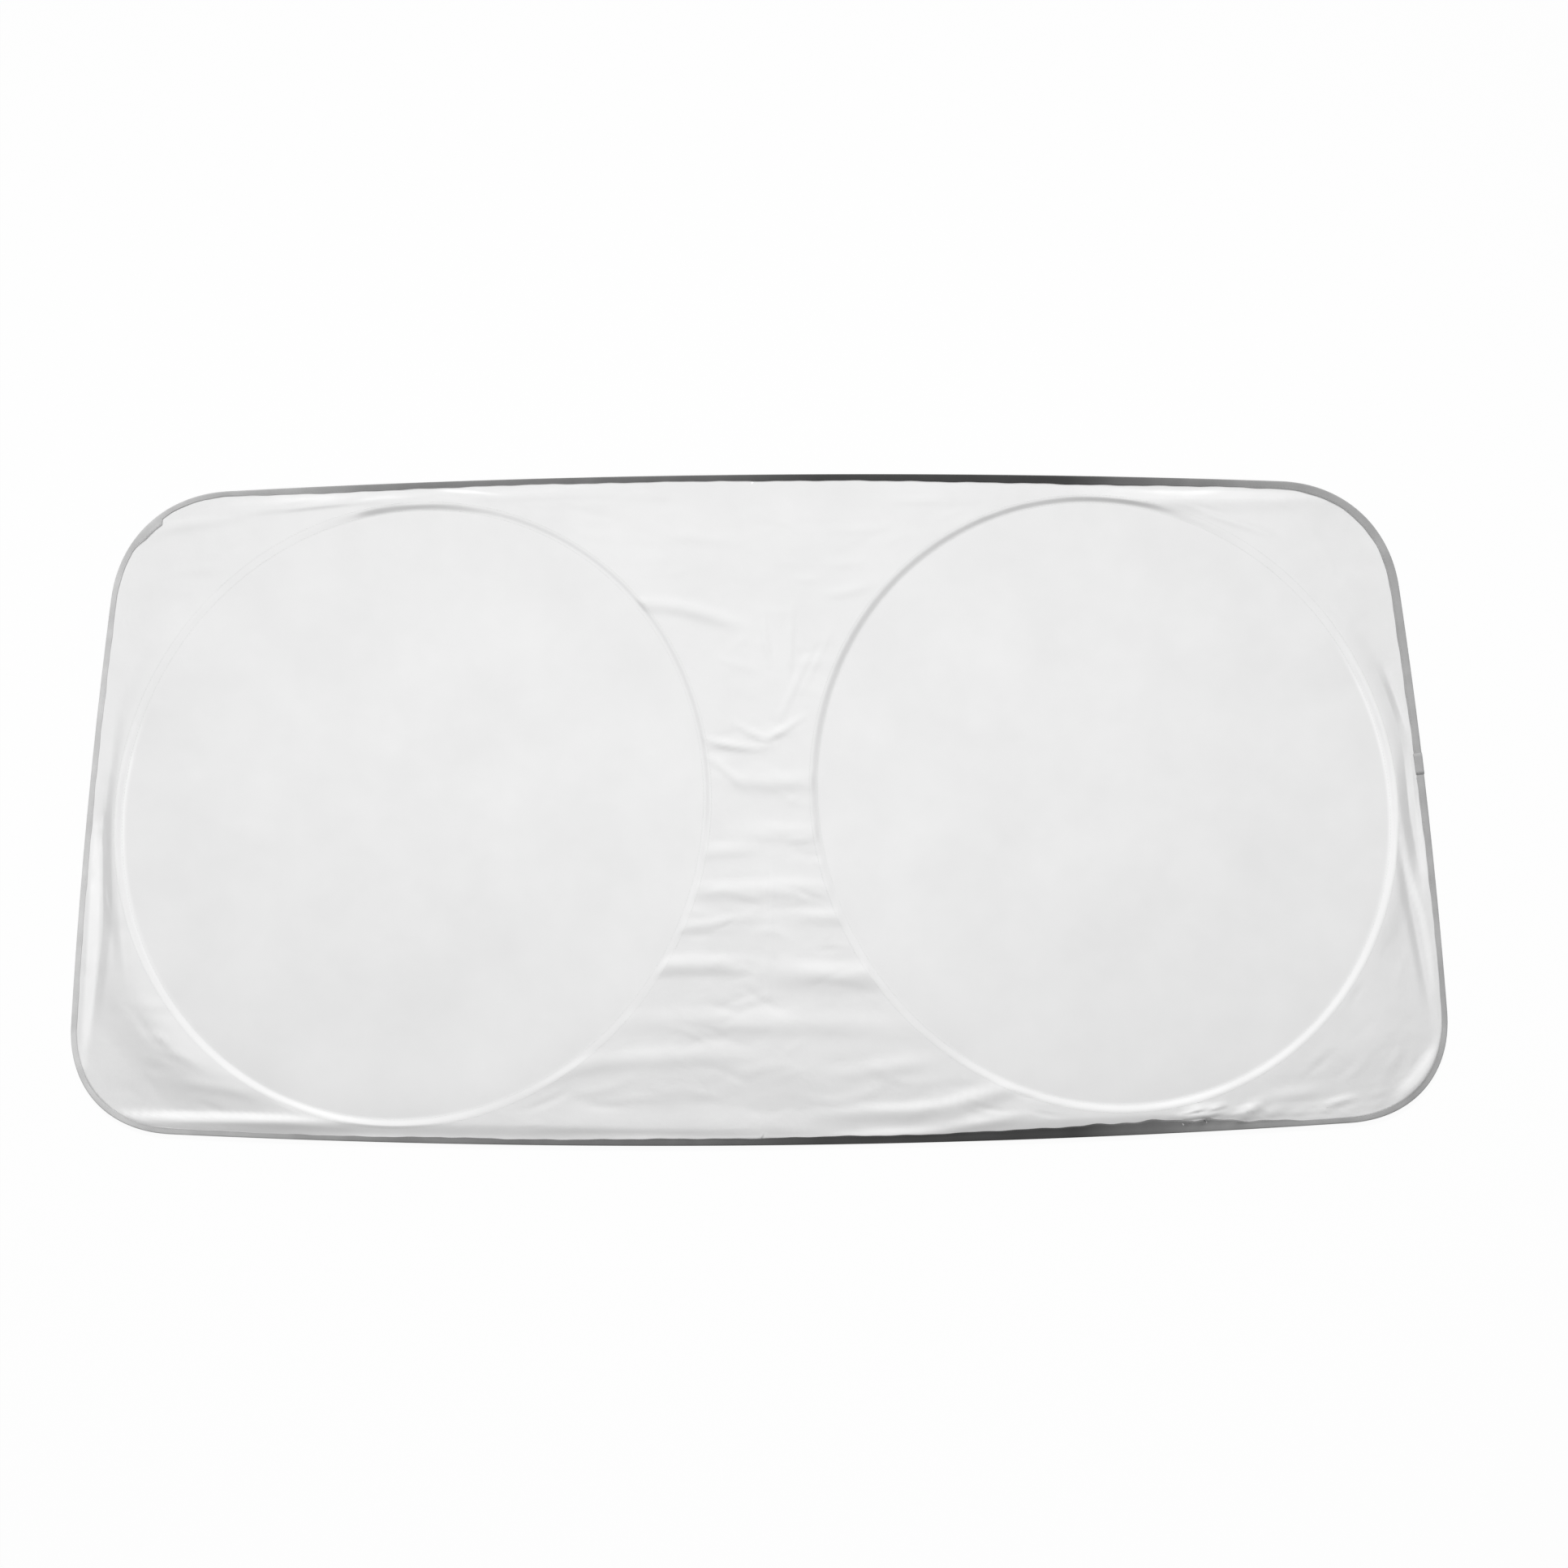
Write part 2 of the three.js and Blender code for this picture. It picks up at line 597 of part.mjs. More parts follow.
const hoopPlace = (core) => ({ offset: 0, z: coreHeight(CASING_THICKNESS, core) });
for (const [side, hoop, sign] of [['left', leftHoop, -1], ['right', rightHoop, 1]]) {
  const loop = hoopLoop(hoop, sign);
  const wire = wireLoop(loop, hoopJoin, hoopPlace);
  add(`${side}_hoop_wire`, wire.geometry, springSteel);
  add(`${side}_hoop_ferrule`, ferrule(wire.start, wire.end), crimpedSteel);
  add(`${side}_hoop_casing`, hoopCasing(loop), greyTape);
}

export default group;
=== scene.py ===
"""The looks of a pop-up windscreen sunshade that lies open on its back, seen from straight above.

One sheet of silver-white coated cloth is held flat by two sprung hoops sewn behind it and bound with black tape
round a sprung wire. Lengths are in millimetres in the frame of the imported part, and go into the meshes in metres.
"""
import math

import bpy
import numpy as np
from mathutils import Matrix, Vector


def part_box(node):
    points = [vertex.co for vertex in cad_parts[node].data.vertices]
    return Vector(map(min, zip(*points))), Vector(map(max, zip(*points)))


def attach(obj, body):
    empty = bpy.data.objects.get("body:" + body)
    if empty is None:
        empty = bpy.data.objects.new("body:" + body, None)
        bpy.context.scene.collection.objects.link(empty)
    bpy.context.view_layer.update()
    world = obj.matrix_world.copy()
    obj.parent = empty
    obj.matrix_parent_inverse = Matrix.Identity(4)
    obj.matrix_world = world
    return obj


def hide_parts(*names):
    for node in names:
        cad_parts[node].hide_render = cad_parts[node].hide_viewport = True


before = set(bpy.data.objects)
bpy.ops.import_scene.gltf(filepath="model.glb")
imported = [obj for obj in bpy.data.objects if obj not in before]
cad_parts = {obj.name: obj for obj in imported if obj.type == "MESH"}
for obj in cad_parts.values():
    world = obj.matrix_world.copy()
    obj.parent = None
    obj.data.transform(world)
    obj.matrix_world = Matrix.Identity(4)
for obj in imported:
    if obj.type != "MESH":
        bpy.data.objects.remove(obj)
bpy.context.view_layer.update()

MM = 0.001

# Outline, measured to the outside of the binding
TOP_SPAN = 1326.8
BOTTOM_SPAN = 1464.8
DEPTH = 665.6
TOP_BOW = 17.4
BOTTOM_BOW = 24.6
SIDE_BOW = 8.6
TOP_CORNER = 108.4  # length of each edge that a corner's curve takes up
BOTTOM_CORNER = 110.1
CORNER_FULLNESS = 0.61  # share of that length to the curve's control points

# Hoops: distances from the edges and the middle line to the wire
HOOP_LEAN = 26  # degrees between a hoop's long axis and upright, leaning to the middle at the top
LEFT_MARGINS = {"top": 24.5, "bottom": 20.5, "side": 32, "middle": 52.1}
RIGHT_MARGINS = {"top": 23.7, "bottom": 29, "side": 34, "middle": 59.4}

# Layers
CLOTH_TOP = 1.3  # top of the cloth where it lies flat
CLOTH_THICKNESS = 0.45
CLOTH_LOWEST = 0.6  # top of the cloth at the bottom of the deepest valley
TAPE_THICKNESS = 0.5
CLEARANCE = 0.3  # between the wire and the tape round it
WIRE_RADIUS = 1.0
SLEEVE_RADIUS = 1.65
BACK_FLAP = 11  # width of the tape on the back
CASING_THICKNESS = 0.4
CASING_WIDTH = 12
CASING_FLAT = 1.6  # from the wire's middle to where the casing tape starts to rise to the cloth
CASING_EDGE = 1  # from its own edge to where it reaches the cloth
CASING_GAP = 0.05  # between the two
HEM_INSET = 4.7  # from the edge of the shade to that of the cloth

# Relief of the cloth over a hoop
CREST = 2.9  # height over the drum-tight cloth, over the wire and over its sleeve
SLEEVE_CREST = 3.7
CREST_OUTSIDE = 3  # from the wire out to where the step down to the drum-tight cloth starts
SLEEVE_LENGTH = 36  # of the stretch that the sleeve raises
SLEEVE_FADE = 40  # and from each of its ends to where the wire alone does
FLANK_LEAST = 9  # least and greatest width of the outer flank, which ends beside the tape
FLANK_MOST = 24
FLANK_END = 9  # from the edge to where it ends
STRIP = 12  # width of the flat strip beside the tape on the left side
STRIP_FADE = (640, 676)  # how far left of the middle line it sets in, and where it is whole
RIM_DROP = (6, 22)  # over and under the hoops the whole drop lies between these distances from the edge
RIM_DROP_FADE = (130, 250)  # and how far beside a hoop's middle that goes over to the flank

# Slack cloth outside the hoops
RIM_RISE = 1.2  # height at which it leaves the tape
SLACK_RISE = 1.5  # and how much more it stands up far from the edge
SLACK_SPAN = (14, 84)  # distances from the edge between which it rises
FOLD_SPAN = (3, 8)  # distances from the edge between which its folds grow to their full height
FOLD_FADE = (-3, 5)  # distances from a hoop's wire over which they set in
CRUMPLE_FADE = (-4, 12)  # and over which the fine crumple of the coating does
CREASE_ENDS = 0.04  # share of a crease's length at each end over which its height is at its least
CREASE_BLUNTNESS = 0.7  # power of the sine that its height follows between them

# The step down to the drum-tight cloth inside each hoop, [degrees anticlockwise from +X, share of the crest, width].
# The rest of the way down is a long gentle slope.
LEFT_STEP = [
    [0, 0.5, 6], [22, 0.45, 6], [34, 0.3, 5], [55, 0.3, 5], [74, 0.35, 6], [80, 0.7, 8], [86, 0.85, 8], [98, 1, 8],
    [101, 0.35, 9], [116, 0.05, 10], [135, 0.05, 12], [156, 0.15, 10], [168, 0.9, 9], [180, 1, 8], [205, 0.75, 7],
    [230, 0.5, 7], [255, 0.45, 8], [270, 0.45, 9], [288, 0.15, 9], [300, 0.2, 9], [322, 0.05, 10], [338, 0.1, 8],
    [350, 0.35, 7],
]
RIGHT_STEP = [
    [0, 0.95, 8], [14, 0.95, 8], [25, 0.8, 9], [36, 0.1, 10], [58, 0.04, 10], [70, 0.35, 8], [85, 0.7, 7],
    [105, 0.8, 7], [125, 0.8, 8.5], [150, 0.85, 9], [180, 0.65, 9], [195, 0.45, 9], [210, 0.3, 9], [222, 0.1, 9],
    [232, 0.1, 9], [242, 0.35, 8], [258, 0.5, 8], [285, 0.5, 9], [315, 0.5, 8], [345, 0.75, 8],
]
DRUM_SLOPE = 110  # width of that slope

# Visible width of the binding on the front, [share of the way round, clockwise from the middle of the top, width]
FRONT_FLAP = [
    [0.0, 6.7], [0.023, 6.7], [0.044, 7.6], [0.066, 8.4], [0.087, 9.3], [0.109, 8.6], [0.13, 7.8], [0.152, 9],
    [0.19, 9.5], [0.21, 9.3], [0.236, 7.4], [0.2365, 8.4], [0.26, 7], [0.285, 5.6], [0.31, 5.8], [0.33, 6.8],
    [0.349, 5.2], [0.358, 6.6], [0.37, 9.6], [0.38, 13], [0.392, 14.5], [0.4135, 12.5], [0.435, 10.5],
    [0.456, 8.5], [0.478, 9], [0.499, 7.5], [0.521, 7.8], [0.542, 6.8], [0.564, 6.2], [0.585, 7], [0.607, 5.6],
    [0.628, 5.5], [0.65, 6.4], [0.68, 6.2], [0.71, 6], [0.829, 6], [0.833, 9.5], [0.8405, 10.5], [0.841, 5.4],
    [0.862, 5.4], [0.874, 6.4], [0.893, 7.4], [0.915, 6.6], [0.937, 6], [0.958, 6.6], [0.98, 6], [1.0, 6.7],
]
FLAP_WAVE = 0.25  # height of the waves in its edge, and how much higher they are on the ragged stretch
RAGGED_WAVE = 0.7
RAGGED_START = (0.35, 0.375)  # shares of the way round between which that stretch sets in, and ends
RAGGED_END = (0.40, 0.43)
EDGE_WAVES = [[1, 61, 1], [0.7, 137, 0], [0.5, 23, 0]]  # [share, number all the way round, shift in radians]
WIRE_FOLD = (-90, 80, 11)  # the tape round the wire: first and last degree of its turn, and points on it
FLAP_FOOT = 1.4  # from the fold to where the tape lies on the cloth
FLAP_GAP = 0.12  # between the cloth and the tape on it
SLEEVE_REACH = 42  # from the sleeve's middle to where the fold starts to narrow down to the wire
SLEEVE_TAPER = 78  # and the length over which it does
LAP_LENGTH = 15  # along the edge, about the sleeve's middle
LAP_LIFT = 0.53  # of the lapped end over the tape under it
LAP_MARGIN = 0.8  # by which the lapped end is wider than the tape under it

# Painted sheen: greys of the tape, lighter towards the sides where light glances off it, from the left side of the
# shade to the right, as [place across in mm, grey]
TAPE_PAINTED_SHEEN = [
    [-730, 0.66], [-560, 0.46], [-380, 0.24], [-60, 0.13], [70, 0.05], [330, 0.045], [540, 0.32], [700, 0.44],
]

# Creases in the slack cloth, as [height, width on the left of the path, width on its right, points]
CREASES = [
    # Over the top of the left hoop
    [1.2, 24, 6, [(-540, 319), (-480, 324), (-438, 328), (-398, 331), (-372, 332)]],
    [0.6, 24, 8, [(-330, 333), (-282, 333), (-230, 335), (-180, 336), (-110, 335)]],
    [1.2, 7, 10, [(-640, 296), (-610, 306), (-560, 312)]],
    [0.5, 8, 8, [(-615, 180), (-590, 206), (-566, 230)]],
    # Beside the left hoop
    [0.7, 4, 12, [(-676, -60), (-673, -100), (-670, -150), (-667, -172)]],
    [-0.9, 3, 3, [(-706, 6), (-694, 0), (-684, -6)]],
    [-0.8, 3, 3, [(-706, -18), (-696, -22), (-686, -30)]],
    [-0.8, 3, 3, [(-711, -66), (-702, -68), (-690, -74)]],
    [-0.6, 3, 3, [(-720, -160), (-712, -164), (-704, -170)]],
    [0.6, 6, 6, [(-664, -203), (-645, -199), (-622, -200)]],
    [0.6, 6, 7, [(-650, -232), (-632, -234), (-618, -244)]],
    [-0.4, 6, 6, [(-654, -214), (-642, -232), (-622, -248)]],
    [0.5, 6, 7, [(-634, -245), (-612, -252), (-592, -262)]],
    [2.4, 30, 52, [(-680, -112), (-662, -180), (-628, -234), (-580, -276), (-520, -300)]],
    [0.5, 10, 9, [(-618, -280), (-572, -287), (-528, -296)]],
    # Between the hoops, from the top edge down
    [0.7, 8, 9, [(140, 326), (175, 325), (214, 325)]],
    [0.6, 8, 9, [(84, 296), (112, 295), (142, 296)]],
    [0.8, 9, 9, [(-106, 292), (-62, 288), (-16, 283)]],
    [0.6, 8, 8, [(74, 259), (96, 259), (118, 260)]],
    [0.5, 7, 7, [(40, 243), (56, 243), (70, 245)]],
    [0.8, 8, 9, [(72, 226), (98, 230), (126, 239)]],
    [1.7, 9, 14, [(-136, 220), (-104, 219), (-76, 215), (-44, 206), (-8, 194)]],
    [0.8, 5, 6, [(6, 206), (10, 182), (15, 154)]],
    [0.8, 5, 6, [(39, 216), (37, 180), (36, 142)]],
    [0.6, 7, 7, [(66, 182), (48, 146), (32, 112), (22, 92)]],
    [0.45, 6, 6, [(84, 196), (66, 160), (48, 124)]],
    [1.4, 6, 6, [(-56, 76), (-34, 70), (-6, 66), (18, 69)]],
    [1.3, 6, 6, [(-24, 92), (-6, 82), (10, 76), (28, 84), (50, 98)]],
    [0.7, 6, 8, [(-54, 60), (-34, 44), (-12, 26)]],
    [1.1, 14, 15, [(-40, 34), (-8, 31), (24, 29), (66, 31)]],
    [0.9, 16, 13, [(-20, -24), (20, -25), (56, -26), (84, -24)]],
    [0.6, 12, 12, [(-76, -46), (-40, -43), (4, -40)]],
    [1.1, 14, 16, [(-86, -82), (-44, -84), (0, -84), (44, -83), (92, -88)]],
    [0.5, 3.5, 3.5, [(12, -60), (13, -100), (13, -150), (15, -206)]],
    [0.6, 12, 12, [(-104, -122), (-64, -121), (-20, -120)]],
    [0.7, 12, 12, [(34, -112), (70, -113), (118, -116)]],
    [1.15, 15, 15, [(-140, -166), (-92, -163), (-42, -163), (4, -166)]],
    [1.6, 16, 24, [(6, -170), (52, -172), (96, -174), (150, -170)]],
    [0.75, 18, 18, [(-160, -222), (-90, -221), (-10, -224), (70, -226), (172, -232)]],
    [0.8, 14, 16, [(-250, -290), (-202, -271), (-152, -262), (-106, -260), (-54, -258), (0, -262)]],
    [0.7, 13, 12, [(84, -280), (132, -273), (182, -267)]],
    [1.0, 30, 8, [(-230, -332), (-140, -334), (-60, -336), (20, -337), (90, -338)]],
    [1.4, 16, 10, [(294, -286), (246, -299), (204, -312), (160, -318), (116, -319), (58, -322)]],
    [1.0, 9, 9, [(282, -318), (240, -331), (190, -341), (130, -345), (60, -348)]],
    # Along the top right and down beside the right hoop
    [0.8, 7, 7, [(468, 309), (512, 297), (556, 280)]],
    [1.9, 8, 15, [(722, -250), (706, -286), (678, -312)]],
    [1.1, 6, 7, [(598, -318), (612, -312), (628, -310)]],
    [0.9, 5, 6, [(650, -292), (651, -306), (651, -322)]],
    [0.5, 12, 10, [(530, -308), (560, -306), (600, -300)]],
]

# Straight-sided valleys and ridges, in the same way: cloth drawn flat towards the wire in the edge
PLEATS = [
    [-1.9, 10, 12, [(-688, 34), (-691, 8), (-691, -25), (-691, -63), (-692, -110), (-697, -160), (-703, -200),
                    (-711, -252)]],
    [2.1, 11, 13, [(-694, -317), (-668, -320), (-620, -322), (-560, -324), (-500, -326), (-440, -331)]],
    [1.5, 13, 12, [(322, 329), (400, 322), (486, 320), (560, 321), (604, 325)]],
    [-1.2, 6, 7, [(662, 142), (668, 128), (674, 112), (684, 82)]],
    [-1.9, 7, 10, [(682, 54), (685, 24), (688, -8), (694, -43), (701, -84)]],
    [-1.9, 8, 8, [(675, -30), (679, -52), (684, -85), (693, -130), (702, -180), (711, -228)]],
]

# Painted highlight: the coating's colour is lightened where light catches the cloth round the wires, as [degrees,
# share], and on flat strips beside the tape and the flat sides of folds, as [share, half width, points]
LEFT_PAINTED_HIGHLIGHT = [[0, 0], [157, 0], [167, 0.85], [185, 0.75], [205, 0.35], [228, 0.1], [250, 0]]
RIGHT_PAINTED_HIGHLIGHT = [[0, 0.8], [24, 0.85], [36, 0], [290, 0], [320, 0.1], [342, 0.35]]
HIGHLIGHT_INSIDE = 9  # from the wire in to where the band round it starts
HIGHLIGHT_FADE = 4  # width over which the band sets in, and over which it ends outside the wire
STRIP_SHARPNESS = 2.5  # how many times steeper the strips fade sideways than a straight-sided crease
PAINTED_HIGHLIGHT_STRIPS = [
    [0.9, 7, [(-698, -8), (-698, -25), (-700, -100), (-706, -187), (-714, -262)]],
    [0.8, 4.5, [(-686, -314), (-650, -314.5), (-571, -316), (-500, -320), (-450, -325)]],
    [0.5, 6, [(350, 328.5), (420, 328), (500, 327), (560, 326), (606, 326)]],
    [0.8, 6, [(672, -305), (691, -281), (711, -258)]],
    [0.6, 4.5, [(677, -34), (682, -62), (689, -85), (699, -115), (706, -152), (711, -196)]],
    [0.4, 4, [(697, 8), (698, -20), (701, -50), (704, -78)]],
]

# Puckers where the broad stretch of tape gathers the cloth, as [place along the bottom edge, height, length,
# width on the right of the path]
PUCKERS = [
    [424, 0.9, 14, 4], [444, 3.2, 24, 3.5], [461, 3.2, 23, 4], [482, 0.9, 14, 4], [502, 3.2, 24, 7],
    [530, 1.2, 16, 6], [560, 0.9, 14, 5], [588, 1, 18, 5], [614, 0.8, 16, 5],
]
PUCKER_LEFT = 7  # width on the left
PUCKER_FOOT = 6  # from the edge
PUCKER_LEAN = 0.9  # to the right, as a share of the length

# Small wrinkles, as [count, middle, half size, direction in degrees, longest]
WRINKLES = [
    [60, (8, 40), (70, 290), 0, 60],
    [36, (10, -180), (130, 110), 0, 80],
    [26, (0, 290), (210, 40), 2, 90],
    [26, (60, -300), (330, 30), 3, 90],
    [14, (-640, -240), (60, 70), -25, 44],
    [22, (640, -230), (60, 80), 60, 50],
    [16, (-600, 270), (70, 50), 25, 50],
    [16, (610, 260), (70, 60), -30, 60],
    [22, (400, 318), (210, 14), 0, 80],
    [22, (-380, 324), (240, 12), 0, 80],
]
WRINKLE_SEED = 11
WRINKLE_SPREAD = 16  # of the direction, in degrees
WRINKLE_BEND = 0.25  # greatest, as a share of half the length
WRINKLE_WIDTH = (4, 8)
WRINKLE_HEIGHT = (0.1, 0.36)

# Mesh density: half the top edge, a top corner, a side, a bottom corner, half the bottom edge
CLOTH_STEPS = (64, 20, 60, 20, 64)
SEAM_STEPS = 170  # down the middle line
TAPE_STEPS = (130, 36, 120, 36, 140)
RIM_STEPS = (24, 12, 20, 12, 24)  # for distances from the edge
DRUM_SHARES = (0.3, 0.55, 0.7, 0.8)  # rows inside a hoop, as shares of the way from its middle
RING_OFFSETS = (  # rows beside its wire
    -46, -38, -31, -25.5, -21, -17.5, -14.5, -12, -10, -8.2, -6.6, -5.2, -3.9, -2.7, -1.5, -0.5,
    0.5, 1.6, 2.9, 4.3, 5.8, 7.4, 9.2,
)
SLACK_ROWS = 33  # rows from there out to the hem or the middle line
CASING_STATIONS = 260  # round each hoop
CASING_ROWS = (0, 1.2, 2.6, 4)  # from each edge of the casing tape inwards

# Thread
STITCH_PITCH = 3.6
STITCH_LENGTH = 2.7
STITCH_MARGIN = 1.8  # from the edge of the tape that it holds
THREAD = 0.4  # thickness
WEAVE = 420  # scale of the cloth's threads


# Plane geometry

def unit(v):
    return v / np.linalg.norm(v, axis=-1, keepdims=True)


def left_of(v):
    return np.stack([-v[..., 1], v[..., 0]], -1)


def ease(x, start, end):
    """0 before start and 1 after end, with level ends."""
    t = np.clip((x - start) / (end - start), 0, 1)
    return t * t * (3 - 2 * t)


def bezier(control, t):
    """Points and directions along a Bezier curve at the parameters t."""
    rows = [np.broadcast_to(np.asarray(p, float), (len(t), 2)) for p in control]
    t = np.asarray(t)[:, None]
    while len(rows) > 2:
        rows = [a + (b - a) * t for a, b in zip(rows, rows[1:])]
    along = rows[1] - rows[0]
    return rows[0] + along * t, unit(along)


def bowed_edge(start, end, bow):
    """An edge from corner point to corner point, bowed outwards as a parabola."""
    control = (start + end) / 2 + 2 * bow * left_of(unit(end - start))
    return [start, control, end]


MIRROR = np.array([-1.0, 1.0])
UPPER_Y = (DEPTH + TOP_BOW + BOTTOM_BOW) / 2 - TOP_BOW
TOP_RIGHT = np.array([TOP_SPAN / 2, UPPER_Y])
BOTTOM_RIGHT = np.array([BOTTOM_SPAN / 2, UPPER_Y - DEPTH])
TOP_EDGE = bowed_edge(TOP_RIGHT * MIRROR, TOP_RIGHT, TOP_BOW)
RIGHT_EDGE = bowed_edge(TOP_RIGHT, BOTTOM_RIGHT, SIDE_BOW)
BOTTOM_EDGE = bowed_edge(BOTTOM_RIGHT, BOTTOM_RIGHT * MIRROR, BOTTOM_BOW)


def rounded_corner(before, t_before, after, t_after, reach):
    (start,), (along_start,) = bezier(before, [t_before])
    (end,), (along_end,) = bezier(after, [t_after])
    lean = reach * CORNER_FULLNESS
    return [start, start + lean * along_start, end - lean * along_end, end]


def right_half(steps):
    """Points and outward directions down the right half, from the middle of the top to the middle of the bottom."""
    top_end = 1 - TOP_CORNER / TOP_SPAN
    side = np.linalg.norm(BOTTOM_RIGHT - TOP_RIGHT)
    side_start = TOP_CORNER / side
    side_end = 1 - BOTTOM_CORNER / side
    bottom_start = BOTTOM_CORNER / BOTTOM_SPAN
    stretches = [
        (TOP_EDGE, 0.5, top_end),
        (rounded_corner(TOP_EDGE, top_end, RIGHT_EDGE, side_start, TOP_CORNER), 0, 1),
        (RIGHT_EDGE, side_start, side_end),
        (rounded_corner(RIGHT_EDGE, side_end, BOTTOM_EDGE, bottom_start, BOTTOM_CORNER), 0, 1),
        (BOTTOM_EDGE, bottom_start, 0.5),
    ]
    parts = [
        bezier(curve, np.linspace(start, end, count, endpoint=False))
        for (curve, start, end), count in zip(stretches, steps)
    ]
    parts.append(bezier(BOTTOM_EDGE, [0.5]))
    points = np.concatenate([p for p, _ in parts])
    along = np.concatenate([a for _, a in parts])
    return points, left_of(along)


def outline(steps):
    """Points, outward directions and shares of the way round the whole outline, clockwise."""
    points, outwards = right_half(steps)
    points = np.concatenate([points, points[-2:0:-1] * MIRROR])
    outwards = np.concatenate([outwards, outwards[-2:0:-1] * MIRROR])
    lengths = np.linalg.norm(np.roll(points, -1, 0) - points, axis=1)
    way = np.concatenate([[0], np.cumsum(lengths)[:-1]]) / lengths.sum()
    return points, outwards, way


RIM_POINTS, RIM_OUTWARDS, _ = outline(RIM_STEPS)


def inset_at(places):
    """How far each place lies inside the outline, which bows outwards all the way round."""
    reach = (RIM_POINTS * RIM_OUTWARDS).sum(1)
    return (reach[None, :] - places @ RIM_OUTWARDS.T).min(1)


def by_row(rows, where, period=None):
    places, values = np.array(rows, float).T
    return np.interp(where, places, values, period=period)


def middle_of(node):
    """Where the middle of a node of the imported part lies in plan."""
    low, high = (np.array(corner)[:2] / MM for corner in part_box(node))
    return (low + high) / 2


# Hoops

def hoop_ellipse(sign, margins, step, painted_highlight_and_rub, sleeve_node):
    """A hoop from its distances to the edges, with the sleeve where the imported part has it."""
    outer = bezier(RIGHT_EDGE, [0.5])[0][0, 0] - margins["side"]
    centre_x = (outer + margins["middle"]) / 2
    reach_x = (outer - margins["middle"]) / 2
    high = bezier(TOP_EDGE, [0.5 + centre_x / TOP_SPAN])[0][0, 1] - margins["top"]
    low = bezier(BOTTOM_EDGE, [0.5 - centre_x / BOTTOM_SPAN])[0][0, 1] + margins["bottom"]
    reach_y = (high - low) / 2
    lean = math.radians(HOOP_LEAN)
    total = reach_x**2 + reach_y**2
    difference = (reach_y**2 - reach_x**2) / math.cos(2 * lean)
    centre = np.array([sign * centre_x, (high + low) / 2])
    to_sleeve = middle_of(sleeve_node) - centre
    return {
        "sign": sign,
        "centre": centre,
        "radii": np.sqrt([(total + difference) / 2, (total - difference) / 2]),
        "axis": np.array([-sign * math.sin(lean), math.cos(lean)]),
        "step": step,
        # shares of painted highlight round the hoop, by angle
        "painted_highlight_and_rub": painted_highlight_and_rub,
        "sleeve": math.degrees(math.atan2(to_sleeve[1], to_sleeve[0])),
    }


LEFT_HOOP = hoop_ellipse(-1, LEFT_MARGINS, LEFT_STEP, LEFT_PAINTED_HIGHLIGHT, "left_hoop_ferrule")
RIGHT_HOOP = hoop_ellipse(1, RIGHT_MARGINS, RIGHT_STEP, RIGHT_PAINTED_HIGHLIGHT, "right_hoop_ferrule")
HOOPS = (LEFT_HOOP, RIGHT_HOOP)


def halves(places):
    """Each hoop, with which of the places lie in its half of the shade."""
    return [(hoop, places[:, 0] * hoop["sign"] >= 0) for hoop in HOOPS]


def hoop_axes(hoop):
    """The directions of the long and the short axis, as rows."""
    axis = hoop["axis"]
    return np.array([axis, [axis[1], -axis[0]]])


def ring_towards(hoop, places):
    """The points of the hoop in the directions of these places, and the outward directions there."""
    axes = hoop_axes(hoop)
    direction = unit(places - hoop["centre"])
    parts = direction @ axes.T
    radius = 1 / np.linalg.norm(parts / hoop["radii"], axis=1, keepdims=True)
    outwards = unit((parts / hoop["radii"] ** 2) @ axes)
    return hoop["centre"] + direction * radius, outwards


def offset_from(hoop, places):
    """How far outside the hoop each place lies, less than 0 inside."""
    parts = (places - hoop["centre"]) @ hoop_axes(hoop).T
    size = np.linalg.norm(parts / hoop["radii"], axis=1)
    slope = np.linalg.norm(parts / hoop["radii"] ** 2, axis=1) / np.maximum(size, 1e-6)
    return (size - 1) / np.maximum(slope, 1e-6)


def angle_round(hoop, places):
    away = places - hoop["centre"]
    return np.degrees(np.arctan2(away[:, 1], away[:, 0]))


def sleeve_share(hoop, places):
    """1 over the sleeve that joins the hoop's wire, fading to 0 along the wire on both sides."""
    turn = (angle_round(hoop, places) - hoop["sleeve"] + 180) % 360 - 180
    distance = np.radians(np.abs(turn)) * hoop["radii"].mean()
    return 1 - ease(distance, SLEEVE_LENGTH / 2, SLEEVE_LENGTH / 2 + SLEEVE_FADE)


# Relief of the cloth

def smooth_path(points, steps=6):
    """A path through the points without kinks, as a Catmull-Rom curve."""
    p = np.array(points, float)
    p = np.concatenate([[2 * p[0] - p[1]], p, [2 * p[-1] - p[-2]]])
    t = np.linspace(0, 1, steps, endpoint=False)[:, None]
    parts = []
    for a, b, c, d in zip(p, p[1:], p[2:], p[3:]):
        parts.append(b + t / 2 * (c - a + t * (2 * a - 5 * b + 4 * c - d + t * (3 * (b - c) + d - a))))
    return np.concatenate(parts + [p[-2:-1]])


